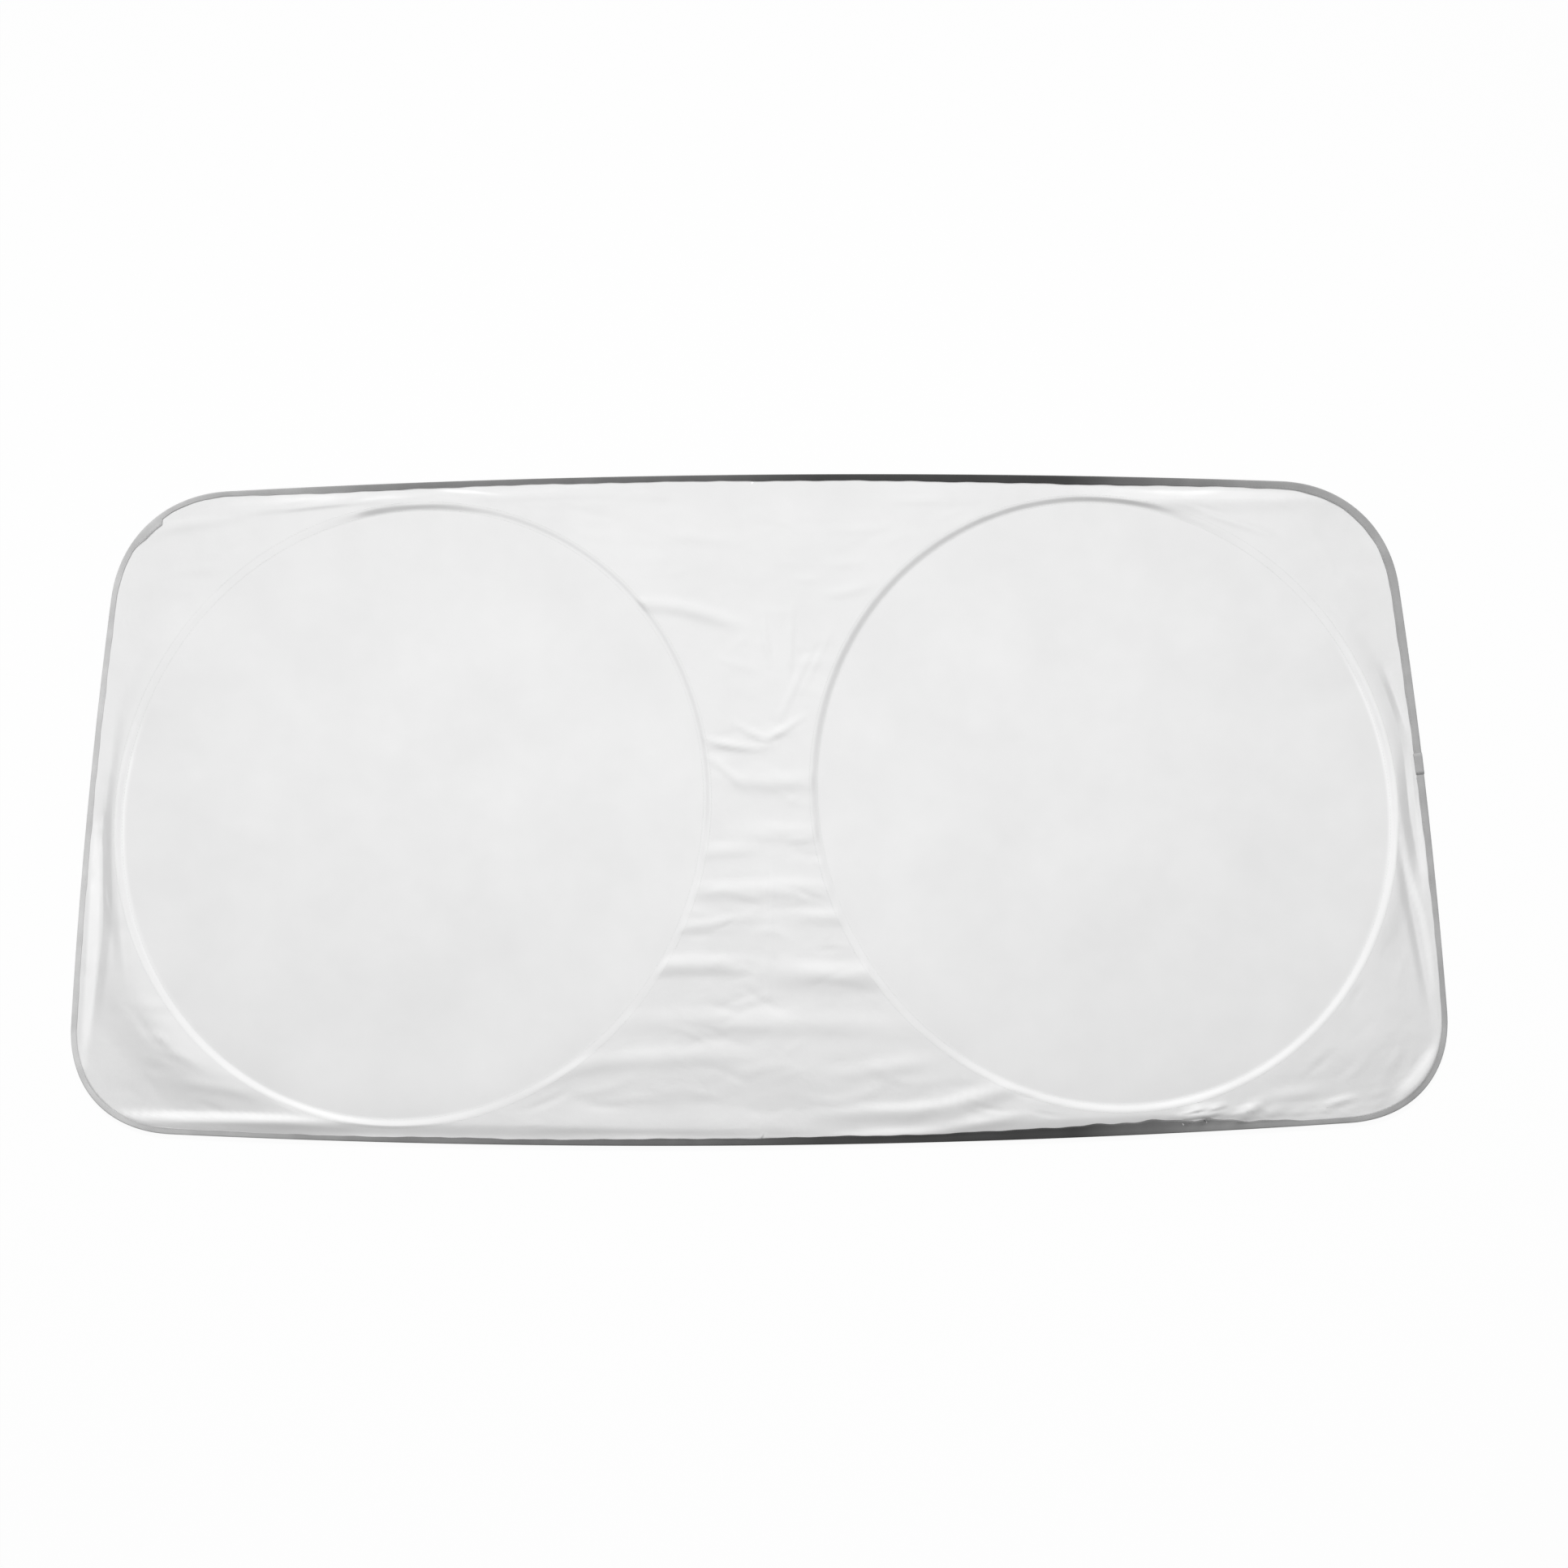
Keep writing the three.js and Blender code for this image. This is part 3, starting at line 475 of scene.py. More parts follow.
def crease(places, height, left_width, right_width, points, straight=False):
    """Height that one crease adds: it fades sideways over its two widths and towards its ends."""
    path = smooth_path(points)
    total = np.zeros(len(places))
    margin = max(left_width, right_width)
    near = np.all((places > path.min(0) - margin) & (places < path.max(0) + margin), axis=1)
    if not near.any():
        return total
    here = places[near]
    nearest = np.full(len(here), np.inf)
    added = np.zeros(len(here))
    spans = np.linalg.norm(np.diff(path, axis=0), axis=1)
    starts = np.concatenate([[0], np.cumsum(spans)])
    for start, end, span, before in zip(path, path[1:], spans, starts):
        along = (end - start) / span
        away = here - start
        t = np.clip(away @ along, 0, span)
        gap = away - t[:, None] * along
        distance = np.linalg.norm(gap, axis=1)
        width = np.where(gap @ left_of(along) > 0, left_width, right_width)
        way = (before + t) / starts[-1]
        closer = distance < nearest
        share = np.clip(distance / width, 0, 1)
        shape = 1 - share if straight else np.cos(math.pi / 2 * share) ** 2
        lengthways = np.sin(math.pi * np.clip(way, CREASE_ENDS, 1 - CREASE_ENDS)) ** CREASE_BLUNTNESS
        added = np.where(closer, shape * lengthways, added)
        nearest = np.where(closer, distance, nearest)
    total[near] = height * added
    return total


def small_wrinkles():
    """Short shallow creases strewn over the slack cloth, the same each run."""
    rng = np.random.RandomState(WRINKLE_SEED)
    found = []
    for count, middle, half, direction, longest in WRINKLES:
        for _ in range(count):
            place = np.array(middle) + np.array(half) * rng.uniform(-1, 1, 2)
            angle = math.radians(direction + rng.normal(0, WRINKLE_SPREAD))
            reach = longest * rng.uniform(0.3, 1) / 2
            along = np.array([math.cos(angle), math.sin(angle)])
            bend = left_of(along) * reach * rng.uniform(-WRINKLE_BEND, WRINKLE_BEND)
            width = rng.uniform(*WRINKLE_WIDTH)
            height = rng.uniform(*WRINKLE_HEIGHT) * rng.choice([-1, 1])
            points = [place - along * reach, place + bend, place + along * reach]
            found.append([height, width, width * rng.uniform(0.8, 1.3), points])
    return found


def bottom_puckers():
    """The puckers as creases, each leaning to the right from its foot beside the tape."""
    found = []
    for x, height, length, width in PUCKERS:
        edge_y = bezier(BOTTOM_EDGE, [0.5 - x / BOTTOM_SPAN])[0][0, 1]
        start = (x, edge_y + PUCKER_FOOT)
        end = (x + PUCKER_LEAN * length, edge_y + PUCKER_FOOT + length)
        found.append([height, PUCKER_LEFT, width, [start, end]])
    return found


ALL_CREASES = CREASES + bottom_puckers() + small_wrinkles()


def ring_height(hoop, places, level, inset):
    """Height of the cloth round a hoop over the drum-tight cloth inside it, and distance outside its wire."""
    offset = offset_from(hoop, places)
    out = offset - CREST_OUTSIDE
    crest = CREST + (SLEEVE_CREST - CREST) * sleeve_share(hoop, places)
    angle = angle_round(hoop, places) % 360
    share = by_row([row[:2] for row in hoop["step"]], angle, period=360)
    width = by_row([row[::2] for row in hoop["step"]], angle, period=360)
    slope = 1 - ease(-out, 0, DRUM_SLOPE)
    down = np.clip(-out / width, 0, 1)
    step = 1 - (down + 2 * ease(down, 0, 1)) / 3  # one part straight to two parts rounded
    inside = crest * (share * step + (1 - share) * slope)
    strip = STRIP * ease(-places[:, 0], *STRIP_FADE)
    reach = np.clip(inset + offset - FLANK_END - strip, FLANK_LEAST, FLANK_MOST)
    beside = 1 - ease(out / reach, 0, 1)
    over = ease(inset, *RIM_DROP)
    above = 1 - ease(np.abs(places[:, 0] - hoop["centre"][0]), *RIM_DROP_FADE)
    outside = level + (crest - level) * (beside + (over - beside) * above)
    return np.where(out < 0, inside, outside), offset


def cloth_height(places):
    """Top of the cloth at these places."""
    inset = inset_at(places)
    level = RIM_RISE + SLACK_RISE * ease(inset, *SLACK_SPAN)
    height = np.zeros(len(places))
    slack = np.zeros(len(places))
    for hoop, own in halves(places):
        if own.any():
            height[own], offset = ring_height(hoop, places[own], level[own], inset[own])
            slack[own] = ease(offset, *FOLD_FADE)
    folds = sum(crease(places, *row) for row in ALL_CREASES)
    folds += sum(crease(places, *row, straight=True) for row in PLEATS)
    folds *= slack * ease(inset, *FOLD_SPAN)
    return np.maximum(CLOTH_TOP + height + folds, CLOTH_LOWEST)


# Mesh making

def link_object(name, data):
    obj = bpy.data.objects.new(name, data)
    bpy.context.scene.collection.objects.link(obj)
    return obj


def mesh_object(name, vertices, faces, materials, slots=None):
    """A smooth mesh from millimetre points, riding on the part; slots gives each face its material."""
    mesh = bpy.data.meshes.new(name)
    mesh.from_pydata((np.asarray(vertices) * MM).tolist(), [], [list(map(int, f)) for f in faces])
    for material in materials:
        mesh.materials.append(material)
    mesh.polygons.foreach_set("use_smooth", [True] * len(mesh.polygons))
    if slots is not None:
        mesh.polygons.foreach_set("material_index", slots)
    mesh.update()
    obj = link_object(name, mesh)
    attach(obj, "root")
    return obj


def loft_faces(rings, size):
    """Quads between a closed row of like closed sections."""
    here = np.arange(rings)[:, None] * size + np.arange(size)[None, :]
    along = np.roll(here, -1, 0)
    return np.stack([here, np.roll(here, -1, 1), np.roll(along, -1, 1), along], -1).reshape(-1, 4)


def sections(points, outwards, offsets, heights):
    """Vertices of sections beside stations: one row of offsets and heights for each station."""
    plan = points[:, None, :] + outwards[:, None, :] * offsets[:, :, None]
    return np.concatenate([plan, heights[:, :, None]], -1).reshape(-1, 3)


# Cloth

def cloth_columns(hoop, points, outwards):
    """Plan points of one half: columns from near the hoop's middle, over its ring, out to the hem or middle line."""
    hem = points - outwards * HEM_INSET
    if hoop["sign"] < 0:
        hem = hem * MIRROR
    seam_y = np.linspace(hem[-1, 1], hem[0, 1], SEAM_STEPS + 1)[1:-1]
    seam = np.stack([np.zeros(len(seam_y)), seam_y], -1)
    ends = np.concatenate([hem, seam])
    ring, away = ring_towards(hoop, ends)
    rows = [hoop["centre"] + (ring - hoop["centre"]) * share for share in DRUM_SHARES]
    rows += [ring + away * offset for offset in RING_OFFSETS]
    foot = rows[-1]
    rows += [foot + (ends - foot) * k / SLACK_ROWS for k in range(1, SLACK_ROWS + 1)]
    return np.stack(rows, 1), len(hem)


def cloth_mesh():
    """Vertices, faces and the faces' material slots of the sheet: front over back, joined round the hem."""
    points, outwards = right_half(CLOTH_STEPS)
    plans = []
    fronts = []
    rims = []
    first = 0
    for hoop in HOOPS:
        columns, hem_count = cloth_columns(hoop, points, outwards)
        count, depth, _ = columns.shape
        number = first + np.arange(count * depth).reshape(count, depth)
        middle = first + count * depth
        plans += [columns.reshape(-1, 2), hoop["centre"][None, :]]
        first = middle + 1
        there = np.roll(number, -1, 0)
        quads = np.stack([number[:, :-1], number[:, 1:], there[:, 1:], there[:, :-1]], -1).reshape(-1, 4)
        fan = np.stack([np.full(count, middle), number[:, 0], there[:, 0], there[:, 0]], -1)
        faces = np.concatenate([quads, fan])
        rim = np.stack([number[: hem_count - 1, -1], there[: hem_count - 1, -1]], -1)
        if hoop["sign"] > 0:
            faces = faces[:, ::-1]
            rim = rim[:, ::-1]
        fronts.append(faces)
        rims.append(rim)
    plan = np.concatenate(plans)
    plan, shared = np.unique(np.round(plan, 3), axis=0, return_inverse=True)
    shared = shared.reshape(-1)
    front = shared[np.concatenate(fronts)]
    rim = shared[np.concatenate(rims)]
    height = cloth_height(plan)
    top = np.column_stack([plan, height])
    bottom = np.column_stack([plan, height - CLOTH_THICKNESS])
    below = len(plan)
    back = front[:, ::-1] + below
    wall = np.stack([rim[:, 1], rim[:, 0], rim[:, 0] + below, rim[:, 1] + below], -1)
    faces = [list(dict.fromkeys(f)) for f in np.concatenate([front, back, wall]).tolist()]
    slots = [0] * len(front) + [1] * (len(back) + len(wall))
    return np.concatenate([top, bottom]), faces, slots


def painted_highlight(places):
    """How strongly a highlight is painted into the coating's colour, 0 to 1."""
    painted_shine = np.zeros(len(places))
    for hoop, own in halves(places):
        offset = offset_from(hoop, places[own])
        angle = angle_round(hoop, places[own]) % 360
        band = ease(offset, -HIGHLIGHT_INSIDE, HIGHLIGHT_FADE - HIGHLIGHT_INSIDE) * (1 - ease(offset, 0, HIGHLIGHT_FADE))
        painted_shine[own] = band * by_row(hoop["painted_highlight_and_rub"], angle, period=360)
    for share, width, points in PAINTED_HIGHLIGHT_STRIPS:
        strip = crease(places, 1, width, width, points, straight=True)
        painted_shine = np.maximum(painted_shine, share * np.clip(STRIP_SHARPNESS * strip, 0, 1))
    return painted_shine


def add_attribute(obj, name, values):
    attribute = obj.data.attributes.new(name, "FLOAT", "POINT")
    attribute.data.foreach_set("value", values)


def add_cloth_attributes(obj):
    """Marks slack cloth with 1 and drum-tight cloth with 0, for the strength of the crumple, and where a highlight
    is painted on the cloth.
    """
    co = np.zeros(len(obj.data.vertices) * 3)
    obj.data.vertices.foreach_get("co", co)
    places = co.reshape(-1, 3)[:, :2] / MM
    slack = np.zeros(len(places))
    for hoop, own in halves(places):
        slack[own] = ease(offset_from(hoop, places[own]), *CRUMPLE_FADE)
    add_attribute(obj, "slack", slack)
    add_attribute(obj, "painted_highlight", painted_highlight(places))


# Edge tape

def edge_core(points):
    """Radius of what the tape goes round: the wire, or the sleeve that joins it on the right side."""
    distance = np.linalg.norm(points - middle_of("perimeter_ferrule"), axis=1)
    share = 1 - np.clip((distance - SLEEVE_REACH) / SLEEVE_TAPER, 0, 1)
    return WIRE_RADIUS + (SLEEVE_RADIUS - WIRE_RADIUS) * share


def tape_ring(core, flap_width, lift, points, outwards):
    """Offsets and heights of the tape's closed section at each station.

    lift sets the tape off from the tape under it on the lapped end, which has no flap on the back.
    """
    middle = TAPE_THICKNESS + CLEARANCE + core
    turns = np.radians(np.linspace(*WIRE_FOLD))
    flap_shares = np.array([0.0, 0.35, 0.7, 1.0])
    back_shares = np.array([1.0, 0.5, 0.15])

    def arc(radius):
        inset = middle[:, None] - radius[:, None] * np.cos(turns)[None, :]
        height = middle[:, None] + radius[:, None] * np.sin(turns)[None, :]
        return inset, height

    foot = 2 * middle + FLAP_FOOT
    flap_inset = foot[:, None] + (flap_width - foot)[:, None] * flap_shares[None, :]
    plan = points[:, None, :] - outwards[:, None, :] * flap_inset[:, :, None]
    under = cloth_height(plan.reshape(-1, 2)).reshape(flap_inset.shape) + FLAP_GAP + lift
    back_inset = middle[:, None] + (BACK_FLAP - middle)[:, None] * back_shares[None, :]
    outer_inset, outer_height = arc(middle + lift)
    inner_inset, inner_height = arc(middle - TAPE_THICKNESS + lift)
    flat = np.zeros_like(back_inset)
    insets = [outer_inset, flap_inset, flap_inset[:, ::-1], inner_inset[:, ::-1]]
    heights = [outer_height, under + TAPE_THICKNESS, under[:, ::-1], inner_height[:, ::-1]]
    if not lift:
        insets = [back_inset, *insets, back_inset[:, ::-1]]
        heights = [flat, *heights, flat + TAPE_THICKNESS]
    return -np.concatenate(insets, 1), np.maximum(np.concatenate(heights, 1), 0)


def flap_width_at(way):
    """Width of the tape on the front, a little wavy as sewn by hand, and ragged where it is broadest."""
    turn = way * 2 * math.pi
    wave = sum(share * np.sin(turn * count + shift) for share, count, shift in EDGE_WAVES)
    ragged = ease(way, *RAGGED_START) * (1 - ease(way, *RAGGED_END))
    return by_row(FRONT_FLAP, way) + (FLAP_WAVE + RAGGED_WAVE * ragged) * wave


# Materials

def new_material(name, values):
    """A node material with the values of its shader, and functions that add a node and a link."""
    material = bpy.data.materials.new(name)
    material.use_nodes = True
    tree = material.node_tree
    tree.nodes.clear()
    output = tree.nodes.new("ShaderNodeOutputMaterial")
    shader = tree.nodes.new("ShaderNodeBsdfPrincipled")
    tree.links.new(shader.outputs[0], output.inputs["Surface"])
    for socket, value in values.items():
        shader.inputs[socket].default_value = value

    def node(kind, values=(), **settings):
        made = tree.nodes.new("ShaderNode" + kind)
        for key, value in settings.items():
            setattr(made, key, value)
        for socket, value in dict(values).items():
            if isinstance(value, bpy.types.NodeSocket):
                tree.links.new(value, made.inputs[socket])
            else:
                made.inputs[socket].default_value = value
        return made

    return material, shader, node, tree.links.new


def grey(level):
    return (level, level, level, 1)


def object_place(node):
    return node("TexCoord").outputs["Object"]


def colour_between(node, factor, low, high):
    mix = node("Mix", {"Factor": factor}, data_type="RGBA")
    mix.inputs["A"].default_value = low
    mix.inputs["B"].default_value = high
    return mix.outputs["Result"]


def weave(node, place, scale):
    """Height of a plain weave: two crossed sets of threads."""
    warp = node("TexWave", {"Vector": place, "Scale": scale}, wave_type="BANDS", bands_direction="X")
    weft = node("TexWave", {"Vector": place, "Scale": scale}, wave_type="BANDS", bands_direction="Y")
    return node("Math", {0: warp.outputs["Fac"], 1: weft.outputs["Fac"]}, operation="MULTIPLY").outputs[0]


def cloth_front_material():
    look = {"Metallic": 0.35, "Sheen Weight": 0.05}
    material, shader, node, link = new_material("silver_coated_cloth", look)
    place = object_place(node)
    cloud = node("TexNoise", {"Vector": place, "Scale": 9, "Detail": 3, "Roughness": 0.6})
    tone = node("MapRange", {"Value": cloud.outputs["Fac"], "From Min": 0.3, "From Max": 0.7})
    coat = colour_between(node, tone.outputs[0], grey(0.79), grey(0.83))
    # painted highlight: the attribute lightens the coating's colour towards 0.94 where light catches the cloth
    painted_shine = node("Attribute", attribute_name="painted_highlight").outputs["Fac"]
    painted_highlight_mix = node("Mix", {"Factor": painted_shine, "A": coat}, data_type="RGBA")
    painted_highlight_mix.inputs["B"].default_value = grey(0.94)
    link(painted_highlight_mix.outputs["Result"], shader.inputs["Base Color"])
    painted_highlight_and_rub = node("TexNoise", {"Vector": place, "Scale": 45, "Detail": 4})
    rough = node("MapRange", {"Value": painted_highlight_and_rub.outputs["Fac"], "To Min": 0.38, "To Max": 0.46})
    link(rough.outputs[0], shader.inputs["Roughness"])
    slack = node("Attribute", attribute_name="slack").outputs["Fac"]
    strength = node("MapRange", {"Value": slack, "To Min": 0.06, "To Max": 0.35})
    crumple = node("TexNoise", {"Vector": place, "Scale": 26, "Detail": 3, "Roughness": 0.5, "Distortion": 0.4})
    bump = node(
        "Bump", {"Height": crumple.outputs["Fac"], "Strength": strength.outputs[0], "Distance": 0.0012}
    )
    threads = node(
        "Bump", {"Height": weave(node, place, WEAVE), "Strength": 0.12, "Distance": 0.0001,
                 "Normal": bump.outputs["Normal"]}
    )
    link(threads.outputs["Normal"], shader.inputs["Normal"])
    return material


def cloth_back_material():
    look = {"Specular IOR Level": 0.2, "Roughness": 0.8, "Sheen Weight": 0.2}
    material, shader, node, link = new_material("uncoated_cloth", look)
    place = object_place(node)
    cloud = node("TexNoise", {"Vector": place, "Scale": 14, "Detail": 3})
    link(colour_between(node, cloud.outputs["Fac"], grey(0.56), grey(0.62)), shader.inputs["Base Color"])
    bump = node("Bump", {"Height": weave(node, place, WEAVE), "Strength": 0.3, "Distance": 0.0001})
    link(bump.outputs["Normal"], shader.inputs["Normal"])
    return material


def tape_material(name, brightness, roughness):
    """Ribbed tape, near black along the middle of the top and bottom, with a painted sheen that greys it towards the
    sides.
    """
    look = {"Roughness": roughness, "Specular IOR Level": 0.3, "Sheen Weight": 0.15}
    material, shader, node, link = new_material(name, look)
    place = object_place(node)
    across = node("SeparateXYZ", {0: place}).outputs["X"]
    first, last = TAPE_PAINTED_SHEEN[0][0], TAPE_PAINTED_SHEEN[-1][0]
    share = node("MapRange", {"Value": across, "From Min": first * MM, "From Max": last * MM})
    ramp = node("ValToRGB", {"Fac": share.outputs[0]})
    for index, (x, level) in enumerate(TAPE_PAINTED_SHEEN):
        at = (x - first) / (last - first)
        stops = ramp.color_ramp.elements
        stop = stops[index] if index in (0, 1) else stops.new(at)
        stop.position = at
        stop.color = grey(level)
    cloud = node("TexNoise", {"Vector": place, "Scale": 30, "Detail": 3})
    uneven = node(
        "MapRange", {"Value": cloud.outputs["Fac"], "To Min": 0.75 * brightness, "To Max": 1.25 * brightness}
    )
    # painted sheen from the ramp, times a random unevenness of tone
    painted_sheen_and_unevenness = node("VectorMath", {0: ramp.outputs["Color"], "Scale": uneven.outputs[0]}, operation="SCALE")
    link(painted_sheen_and_unevenness.outputs[0], shader.inputs["Base Color"])
    ribs = node("TexWave", {"Vector": place, "Scale": 260, "Distortion": 0.3}, bands_direction="DIAGONAL")
    bump = node("Bump", {"Height": ribs.outputs["Fac"], "Strength": 0.35, "Distance": 0.00015})
    link(bump.outputs["Normal"], shader.inputs["Normal"])
    return material


def thread_material(name, low, high):
    material, shader, node, link = new_material(name, {"Roughness": 0.6})
    twist = node("TexWave", {"Vector": object_place(node), "Scale": 600}, bands_direction="DIAGONAL")
    link(colour_between(node, twist.outputs["Fac"], grey(low), grey(high)), shader.inputs["Base Color"])
    return material


def steel_material(name, low, high, roughness):
    material, shader, node, link = new_material(name, {"Metallic": 1})
    place = object_place(node)
    cloud = node("TexNoise", {"Vector": place, "Scale": 160, "Detail": 4})
    link(colour_between(node, cloud.outputs["Fac"], grey(low), grey(high)), shader.inputs["Base Color"])
    wear = node("MapRange", {"Value": cloud.outputs["Fac"], "To Min": roughness - 0.06, "To Max": roughness + 0.1})
    link(wear.outputs[0], shader.inputs["Roughness"])
    return material


# The pieces

CLOTH_FRONT = cloth_front_material()
CLOTH_BACK = cloth_back_material()
EDGE_TAPE = tape_material("black_binding_tape", brightness=1, roughness=0.72)


def make_cloth():
    vertices, faces, slots = cloth_mesh()
    cloth = mesh_object("cloth", vertices, faces, [CLOTH_FRONT, CLOTH_BACK], slots)
    add_cloth_attributes(cloth)
    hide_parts("front_panel")
    return cloth


def make_edge_tape():
    points, outwards, way = outline(TAPE_STEPS)
    offsets, heights = tape_ring(edge_core(points), flap_width_at(way), 0, points, outwards)
    vertices = sections(points, outwards, offsets, heights)
    tape = mesh_object("edge_tape", vertices, loft_faces(len(points), offsets.shape[1]), [EDGE_TAPE])
    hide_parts("edge_binding")


def make_tape_lap():
    """The end of the tape, lapped over its start on the right side."""
    points, outwards, way = outline(TAPE_STEPS)
    distance = np.linalg.norm(points - middle_of("perimeter_ferrule"), axis=1)
    near = np.flatnonzero(distance < LAP_LENGTH / 2 + HEM_INSET)
    points, outwards, way = points[near], outwards[near], way[near]
    offsets, heights = tape_ring(edge_core(points), flap_width_at(way) + LAP_MARGIN, LAP_LIFT, points, outwards)
    size = offsets.shape[1]
    faces = loft_faces(len(near), size)[: (len(near) - 1) * size].tolist()
    last = (len(near) - 1) * size
    faces += [list(range(size))[::-1], list(range(last, last + size))]
    lap = mesh_object("edge_tape_lap", sections(points, outwards, offsets, heights), faces, [EDGE_TAPE])


# Hoop casings

def ring_stations(hoop, count):
    turns = np.linspace(0, 2 * math.pi, count, endpoint=False)
    around = hoop["centre"] + np.stack([np.cos(turns), np.sin(turns)], -1)
    return ring_towards(hoop, around)


def casing_under(plan, offset):
    """Underside of the casing tape: it passes under the wire and meets the cloth along both edges."""
    share = ease(np.abs(offset), CASING_FLAT, CASING_WIDTH / 2 - CASING_EDGE)
    cloth_under = cloth_height(plan) - CLOTH_THICKNESS
    return share * (cloth_under - CASING_THICKNESS - CASING_GAP)


def make_casing(side, hoop):
    points, outwards = ring_stations(hoop, CASING_STATIONS)
    half = CASING_WIDTH / 2
    inwards = np.array(CASING_ROWS)
    across = np.concatenate([inwards - half, [0], half - inwards[::-1]])
    plan = points[:, None, :] + outwards[:, None, :] * across[None, :, None]
    offsets = np.broadcast_to(across, plan.shape[:2])
    under = casing_under(plan.reshape(-1, 2), offsets.reshape(-1)).reshape(offsets.shape)
    offsets = np.concatenate([offsets, offsets[:, ::-1]], 1)
    heights = np.concatenate([under, under[:, ::-1] + CASING_THICKNESS], 1)
    vertices = sections(points, outwards, offsets, heights)
    casing = mesh_object(f"{side}_casing_tape", vertices, loft_faces(len(points), offsets.shape[1]), [CASING])
    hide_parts(f"{side}_hoop_casing")


# Stitching

def stitches(name, rows, material):
    """Lockstitch thread: one short spindle for each stitch along rows of places, each with its height."""
    vertices = []
    faces = []
    for places, heights in rows:
        steps = np.linalg.norm(np.roll(places, -1, 0) - places, axis=1)
        total = steps.sum()
        count = int(total / STITCH_PITCH)
        way = np.concatenate([[0], np.cumsum(steps)])
        closed = np.concatenate([np.column_stack([places, heights]), [[*places[0], heights[0]]]])
        middle = (np.arange(count) + 0.5) * total / count
        for at in middle:
            ends = [
                np.array([np.interp(at + shift, way, closed[:, k]) for k in range(3)])
                for shift in (-STITCH_LENGTH / 2, STITCH_LENGTH / 2)
            ]
            along = unit(ends[1] - ends[0])
            side = np.array([-along[1], along[0], 0])
            first = len(vertices)
            vertices.append(ends[0] - [0, 0, THREAD / 2])
            for share in (0.2, 0.8):
                centre = ends[0] + (ends[1] - ends[0]) * share
                for across, up in ((1, 0), (0, 1), (-1, 0), (0, -1)):
                    vertices.append(centre + (side * across + np.array([0, 0, up])) * THREAD / 2)
            vertices.append(ends[1] - [0, 0, THREAD / 2])
            for k in range(4):
                here = first + 1 + k
                there = first + 1 + (k + 1) % 4
                faces += [[first, there, here], [here, there, there + 4, here + 4], [first + 9, here + 4, there + 4]]
    thread = mesh_object(name, vertices, faces, [material])


def edge_stitches():
    points, outwards, way = outline(TAPE_STEPS)
    front = points - outwards * (flap_width_at(way) - STITCH_MARGIN)[:, None]
    flap_top = cloth_height(front) + FLAP_GAP + TAPE_THICKNESS
    back = points - outwards * (BACK_FLAP - STITCH_MARGIN)
    rows = [(front, flap_top), (back, np.full(len(back), THREAD / 4))]
    stitches("edge_stitches", rows, TAPE_THREAD)


def hoop_stitches(side, hoop):
    rows = []
    points, outwards = ring_stations(hoop, CASING_STATIONS * 2)
    for offset in (STITCH_MARGIN - CASING_WIDTH / 2, CASING_WIDTH / 2 - STITCH_MARGIN):
        places = points + outwards * offset
        rows.append((places, cloth_height(places)))
        rows.append((places, casing_under(places, np.full(len(places), offset))))
    stitches(f"{side}_casing_stitches", rows, CLOTH_THREAD)


STEEL = steel_material("drawn_spring_steel", low=0.34, high=0.44, roughness=0.32)
SLEEVE_STEEL = steel_material("crimped_sleeve_steel", low=0.52, high=0.62, roughness=0.3)
CASING = thread_material("woven_casing_tape", low=0.5, high=0.6)
TAPE_THREAD = tape_material("black_thread", brightness=0.9, roughness=0.6)
CLOTH_THREAD = thread_material("silver_thread", low=0.74, high=0.82)

cloth = make_cloth()
make_edge_tape()
make_tape_lap()
edge_stitches()
for side_name, side_hoop in (("left", LEFT_HOOP), ("right", RIGHT_HOOP)):
    make_casing(side_name, side_hoop)
    hoop_stitches(side_name, side_hoop)

for name, node_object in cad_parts.items():
    for ending, material in (("_wire", STEEL), ("_ferrule", SLEEVE_STEEL)):
        if name.endswith(ending):
            node_object.data.materials.clear()
            node_object.data.materials.append(material)


# Floor, light and camera

FLOOR_SIZE = 14  # lengths here are in metres, apart from the place that the camera aims at
FLOOR_GLOW = 0.93  # share of the floor's look that is plain white to the camera, the rest keeps the shadow


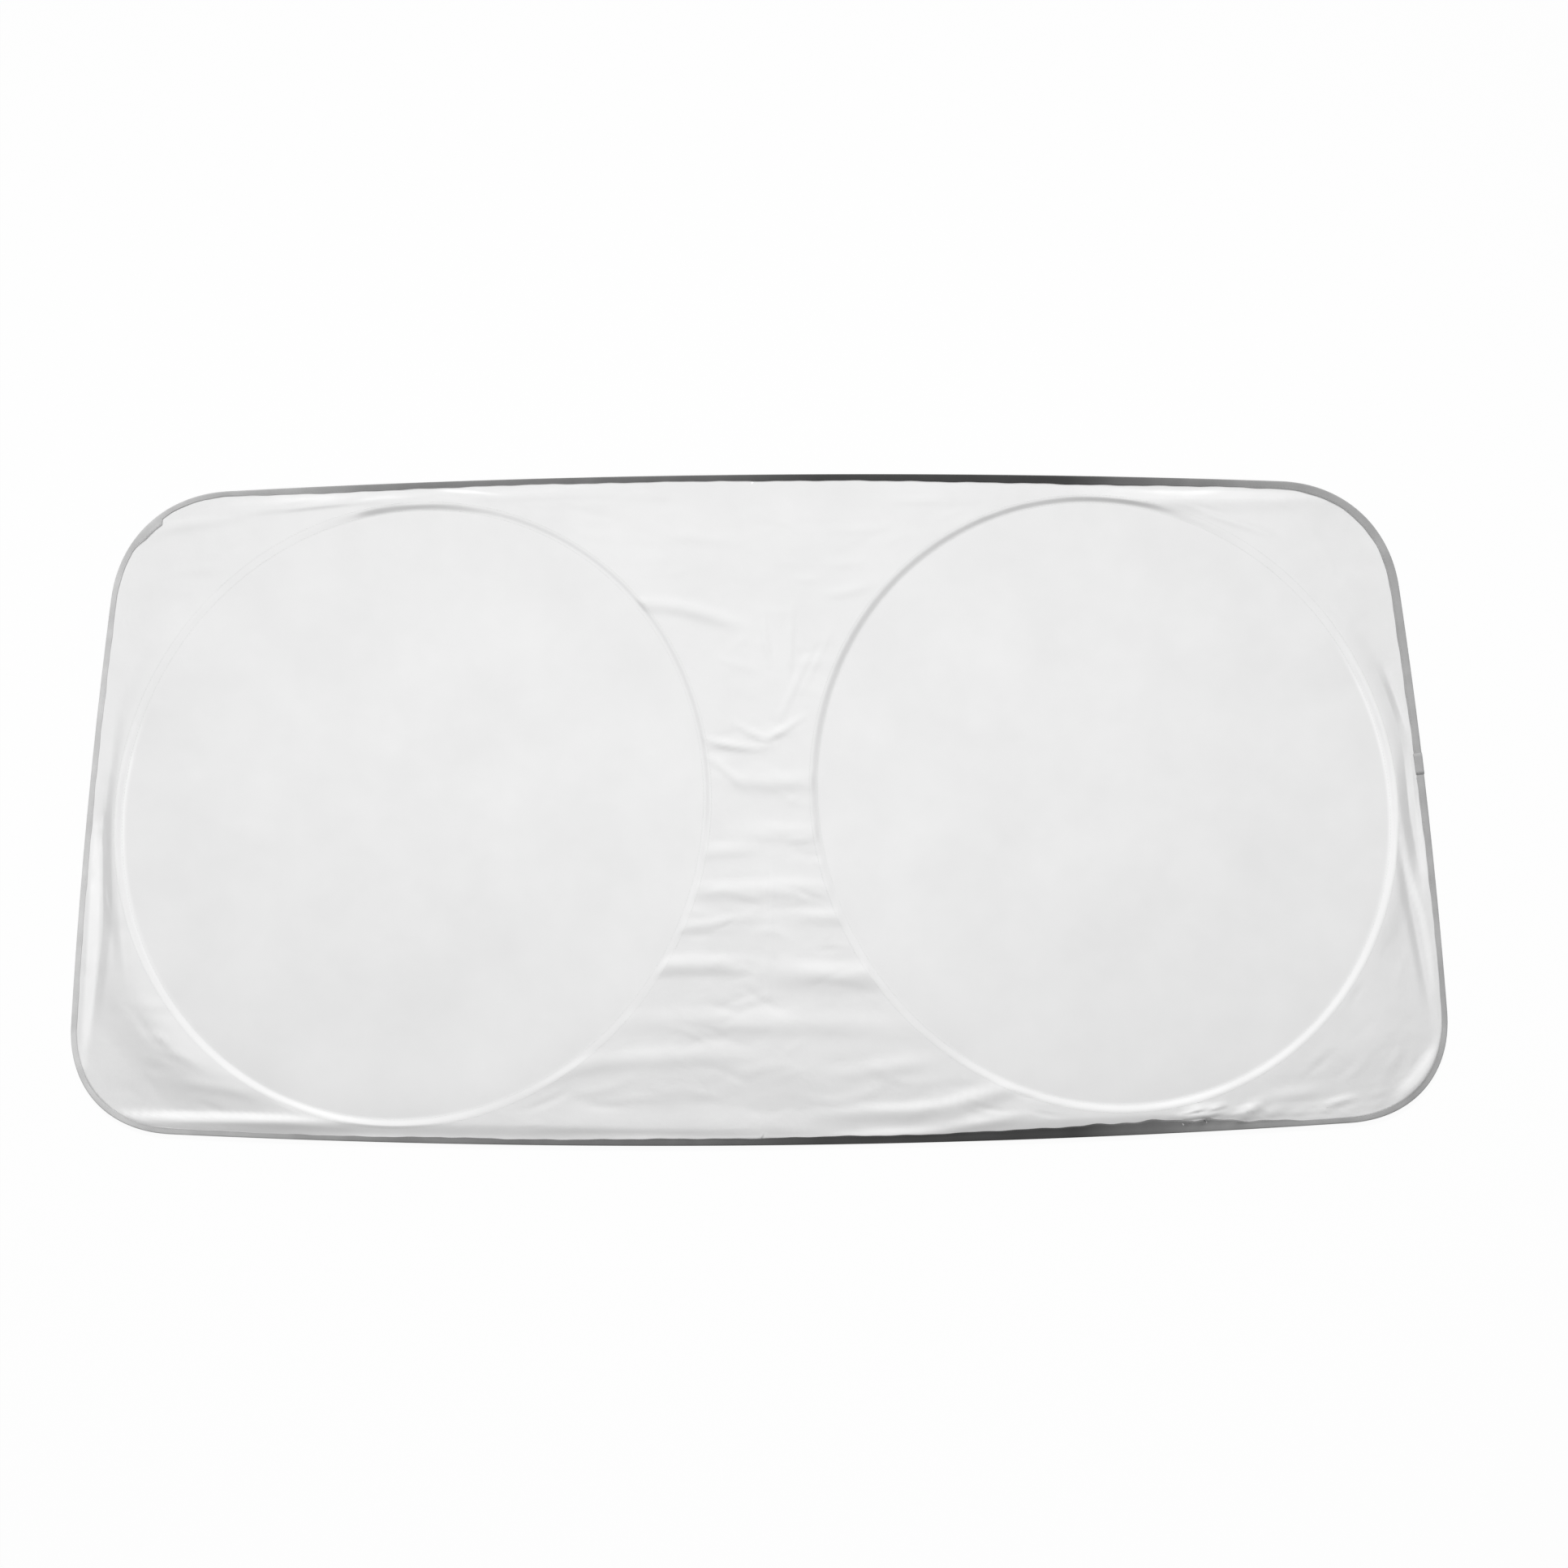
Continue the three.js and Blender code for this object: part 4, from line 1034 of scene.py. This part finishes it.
def make_floor():
    material, shader, node, link = new_material("white_floor", {"Roughness": 0.9, "Specular IOR Level": 0})
    tree = material.node_tree
    place = object_place(node)
    grain = node("TexNoise", {"Vector": place, "Scale": 3, "Detail": 2})
    link(colour_between(node, grain.outputs["Fac"], grey(0.93), grey(0.95)), shader.inputs["Base Color"])
    white = node("Emission", {"Color": grey(1), "Strength": 1})
    path = node("LightPath")
    seen = node(
        "Math", {0: path.outputs["Is Camera Ray"], 1: path.outputs["Is Glossy Ray"]}, operation="MAXIMUM"
    )
    seen = node("Math", {0: seen.outputs[0], 1: path.outputs["Is Transmission Ray"]}, operation="MAXIMUM")
    share = node("Math", {0: seen.outputs[0], 1: FLOOR_GLOW}, operation="MULTIPLY")
    mix = node("MixShader", {0: share.outputs[0], 1: shader.outputs[0], 2: white.outputs[0]})
    output = next(n for n in tree.nodes if n.type == "OUTPUT_MATERIAL")
    link(mix.outputs[0], output.inputs["Surface"])
    half = FLOOR_SIZE / 2
    mesh = bpy.data.meshes.new("floor")
    corners = [(-half, -half, -MM), (half, -half, -MM), (half, half, -MM), (-half, half, -MM)]
    mesh.from_pydata(corners, [], [(0, 1, 2, 3)])
    mesh.materials.append(material)
    floor = link_object("floor", mesh)


def aim(obj, place, target):
    obj.location = place
    direction = Vector(target) - Vector(place)
    obj.rotation_euler = direction.to_track_quat("-Z", "Y").to_euler()


def make_light(name, kind, place, target, energy, **settings):
    data = bpy.data.lights.new(name, kind)
    data.energy = energy
    for key, value in settings.items():
        setattr(data, key, value)
    aim(link_object(name, data), place, target)


WORLD_STRENGTH = 0.3
SUN_PLACE = (-0.5, 3.0, 2.1)
SUN_STRENGTH = 1.85
SUN_SPREAD = 9  # degrees
SOFTBOX_PLACE = (-0.1, 0.22, 1.5)
SOFTBOX_SIZE = (2.8, 1.4)
SOFTBOX_POWER = 12.7


def light_scene():
    world = bpy.data.worlds.new("studio")
    world.use_nodes = True
    background = world.node_tree.nodes["Background"]
    background.inputs["Color"].default_value = grey(1)
    background.inputs["Strength"].default_value = WORLD_STRENGTH
    bpy.context.scene.world = world
    make_light("sun", "SUN", SUN_PLACE, (0, 0, 0), SUN_STRENGTH, angle=math.radians(SUN_SPREAD))
    x, y, _ = SOFTBOX_PLACE
    width, depth = SOFTBOX_SIZE
    make_light(
        "softbox", "AREA", SOFTBOX_PLACE, (x, y, 0), SOFTBOX_POWER, shape="RECTANGLE", size=width, size_y=depth
    )


CAMERA_AIM = (28.6, 27.2)
CAMERA_HEIGHT = 3.907
CAMERA_TURN = -0.0096  # radians, by which the photo is turned
CAMERA_LENS = 85
CAMERA_SENSOR = 36
CAMERA_SIGHT = 50


def place_camera():
    data = bpy.data.cameras.new("camera")
    data.lens = CAMERA_LENS
    data.sensor_width = CAMERA_SENSOR
    data.clip_end = CAMERA_SIGHT
    camera = link_object("camera", data)
    camera.location = (CAMERA_AIM[0] * MM, CAMERA_AIM[1] * MM, CAMERA_HEIGHT)
    camera.rotation_euler = (0, 0, CAMERA_TURN)
    bpy.context.scene.camera = camera


make_floor()
light_scene()
place_camera()
bpy.context.scene.view_settings.view_transform = "Standard"
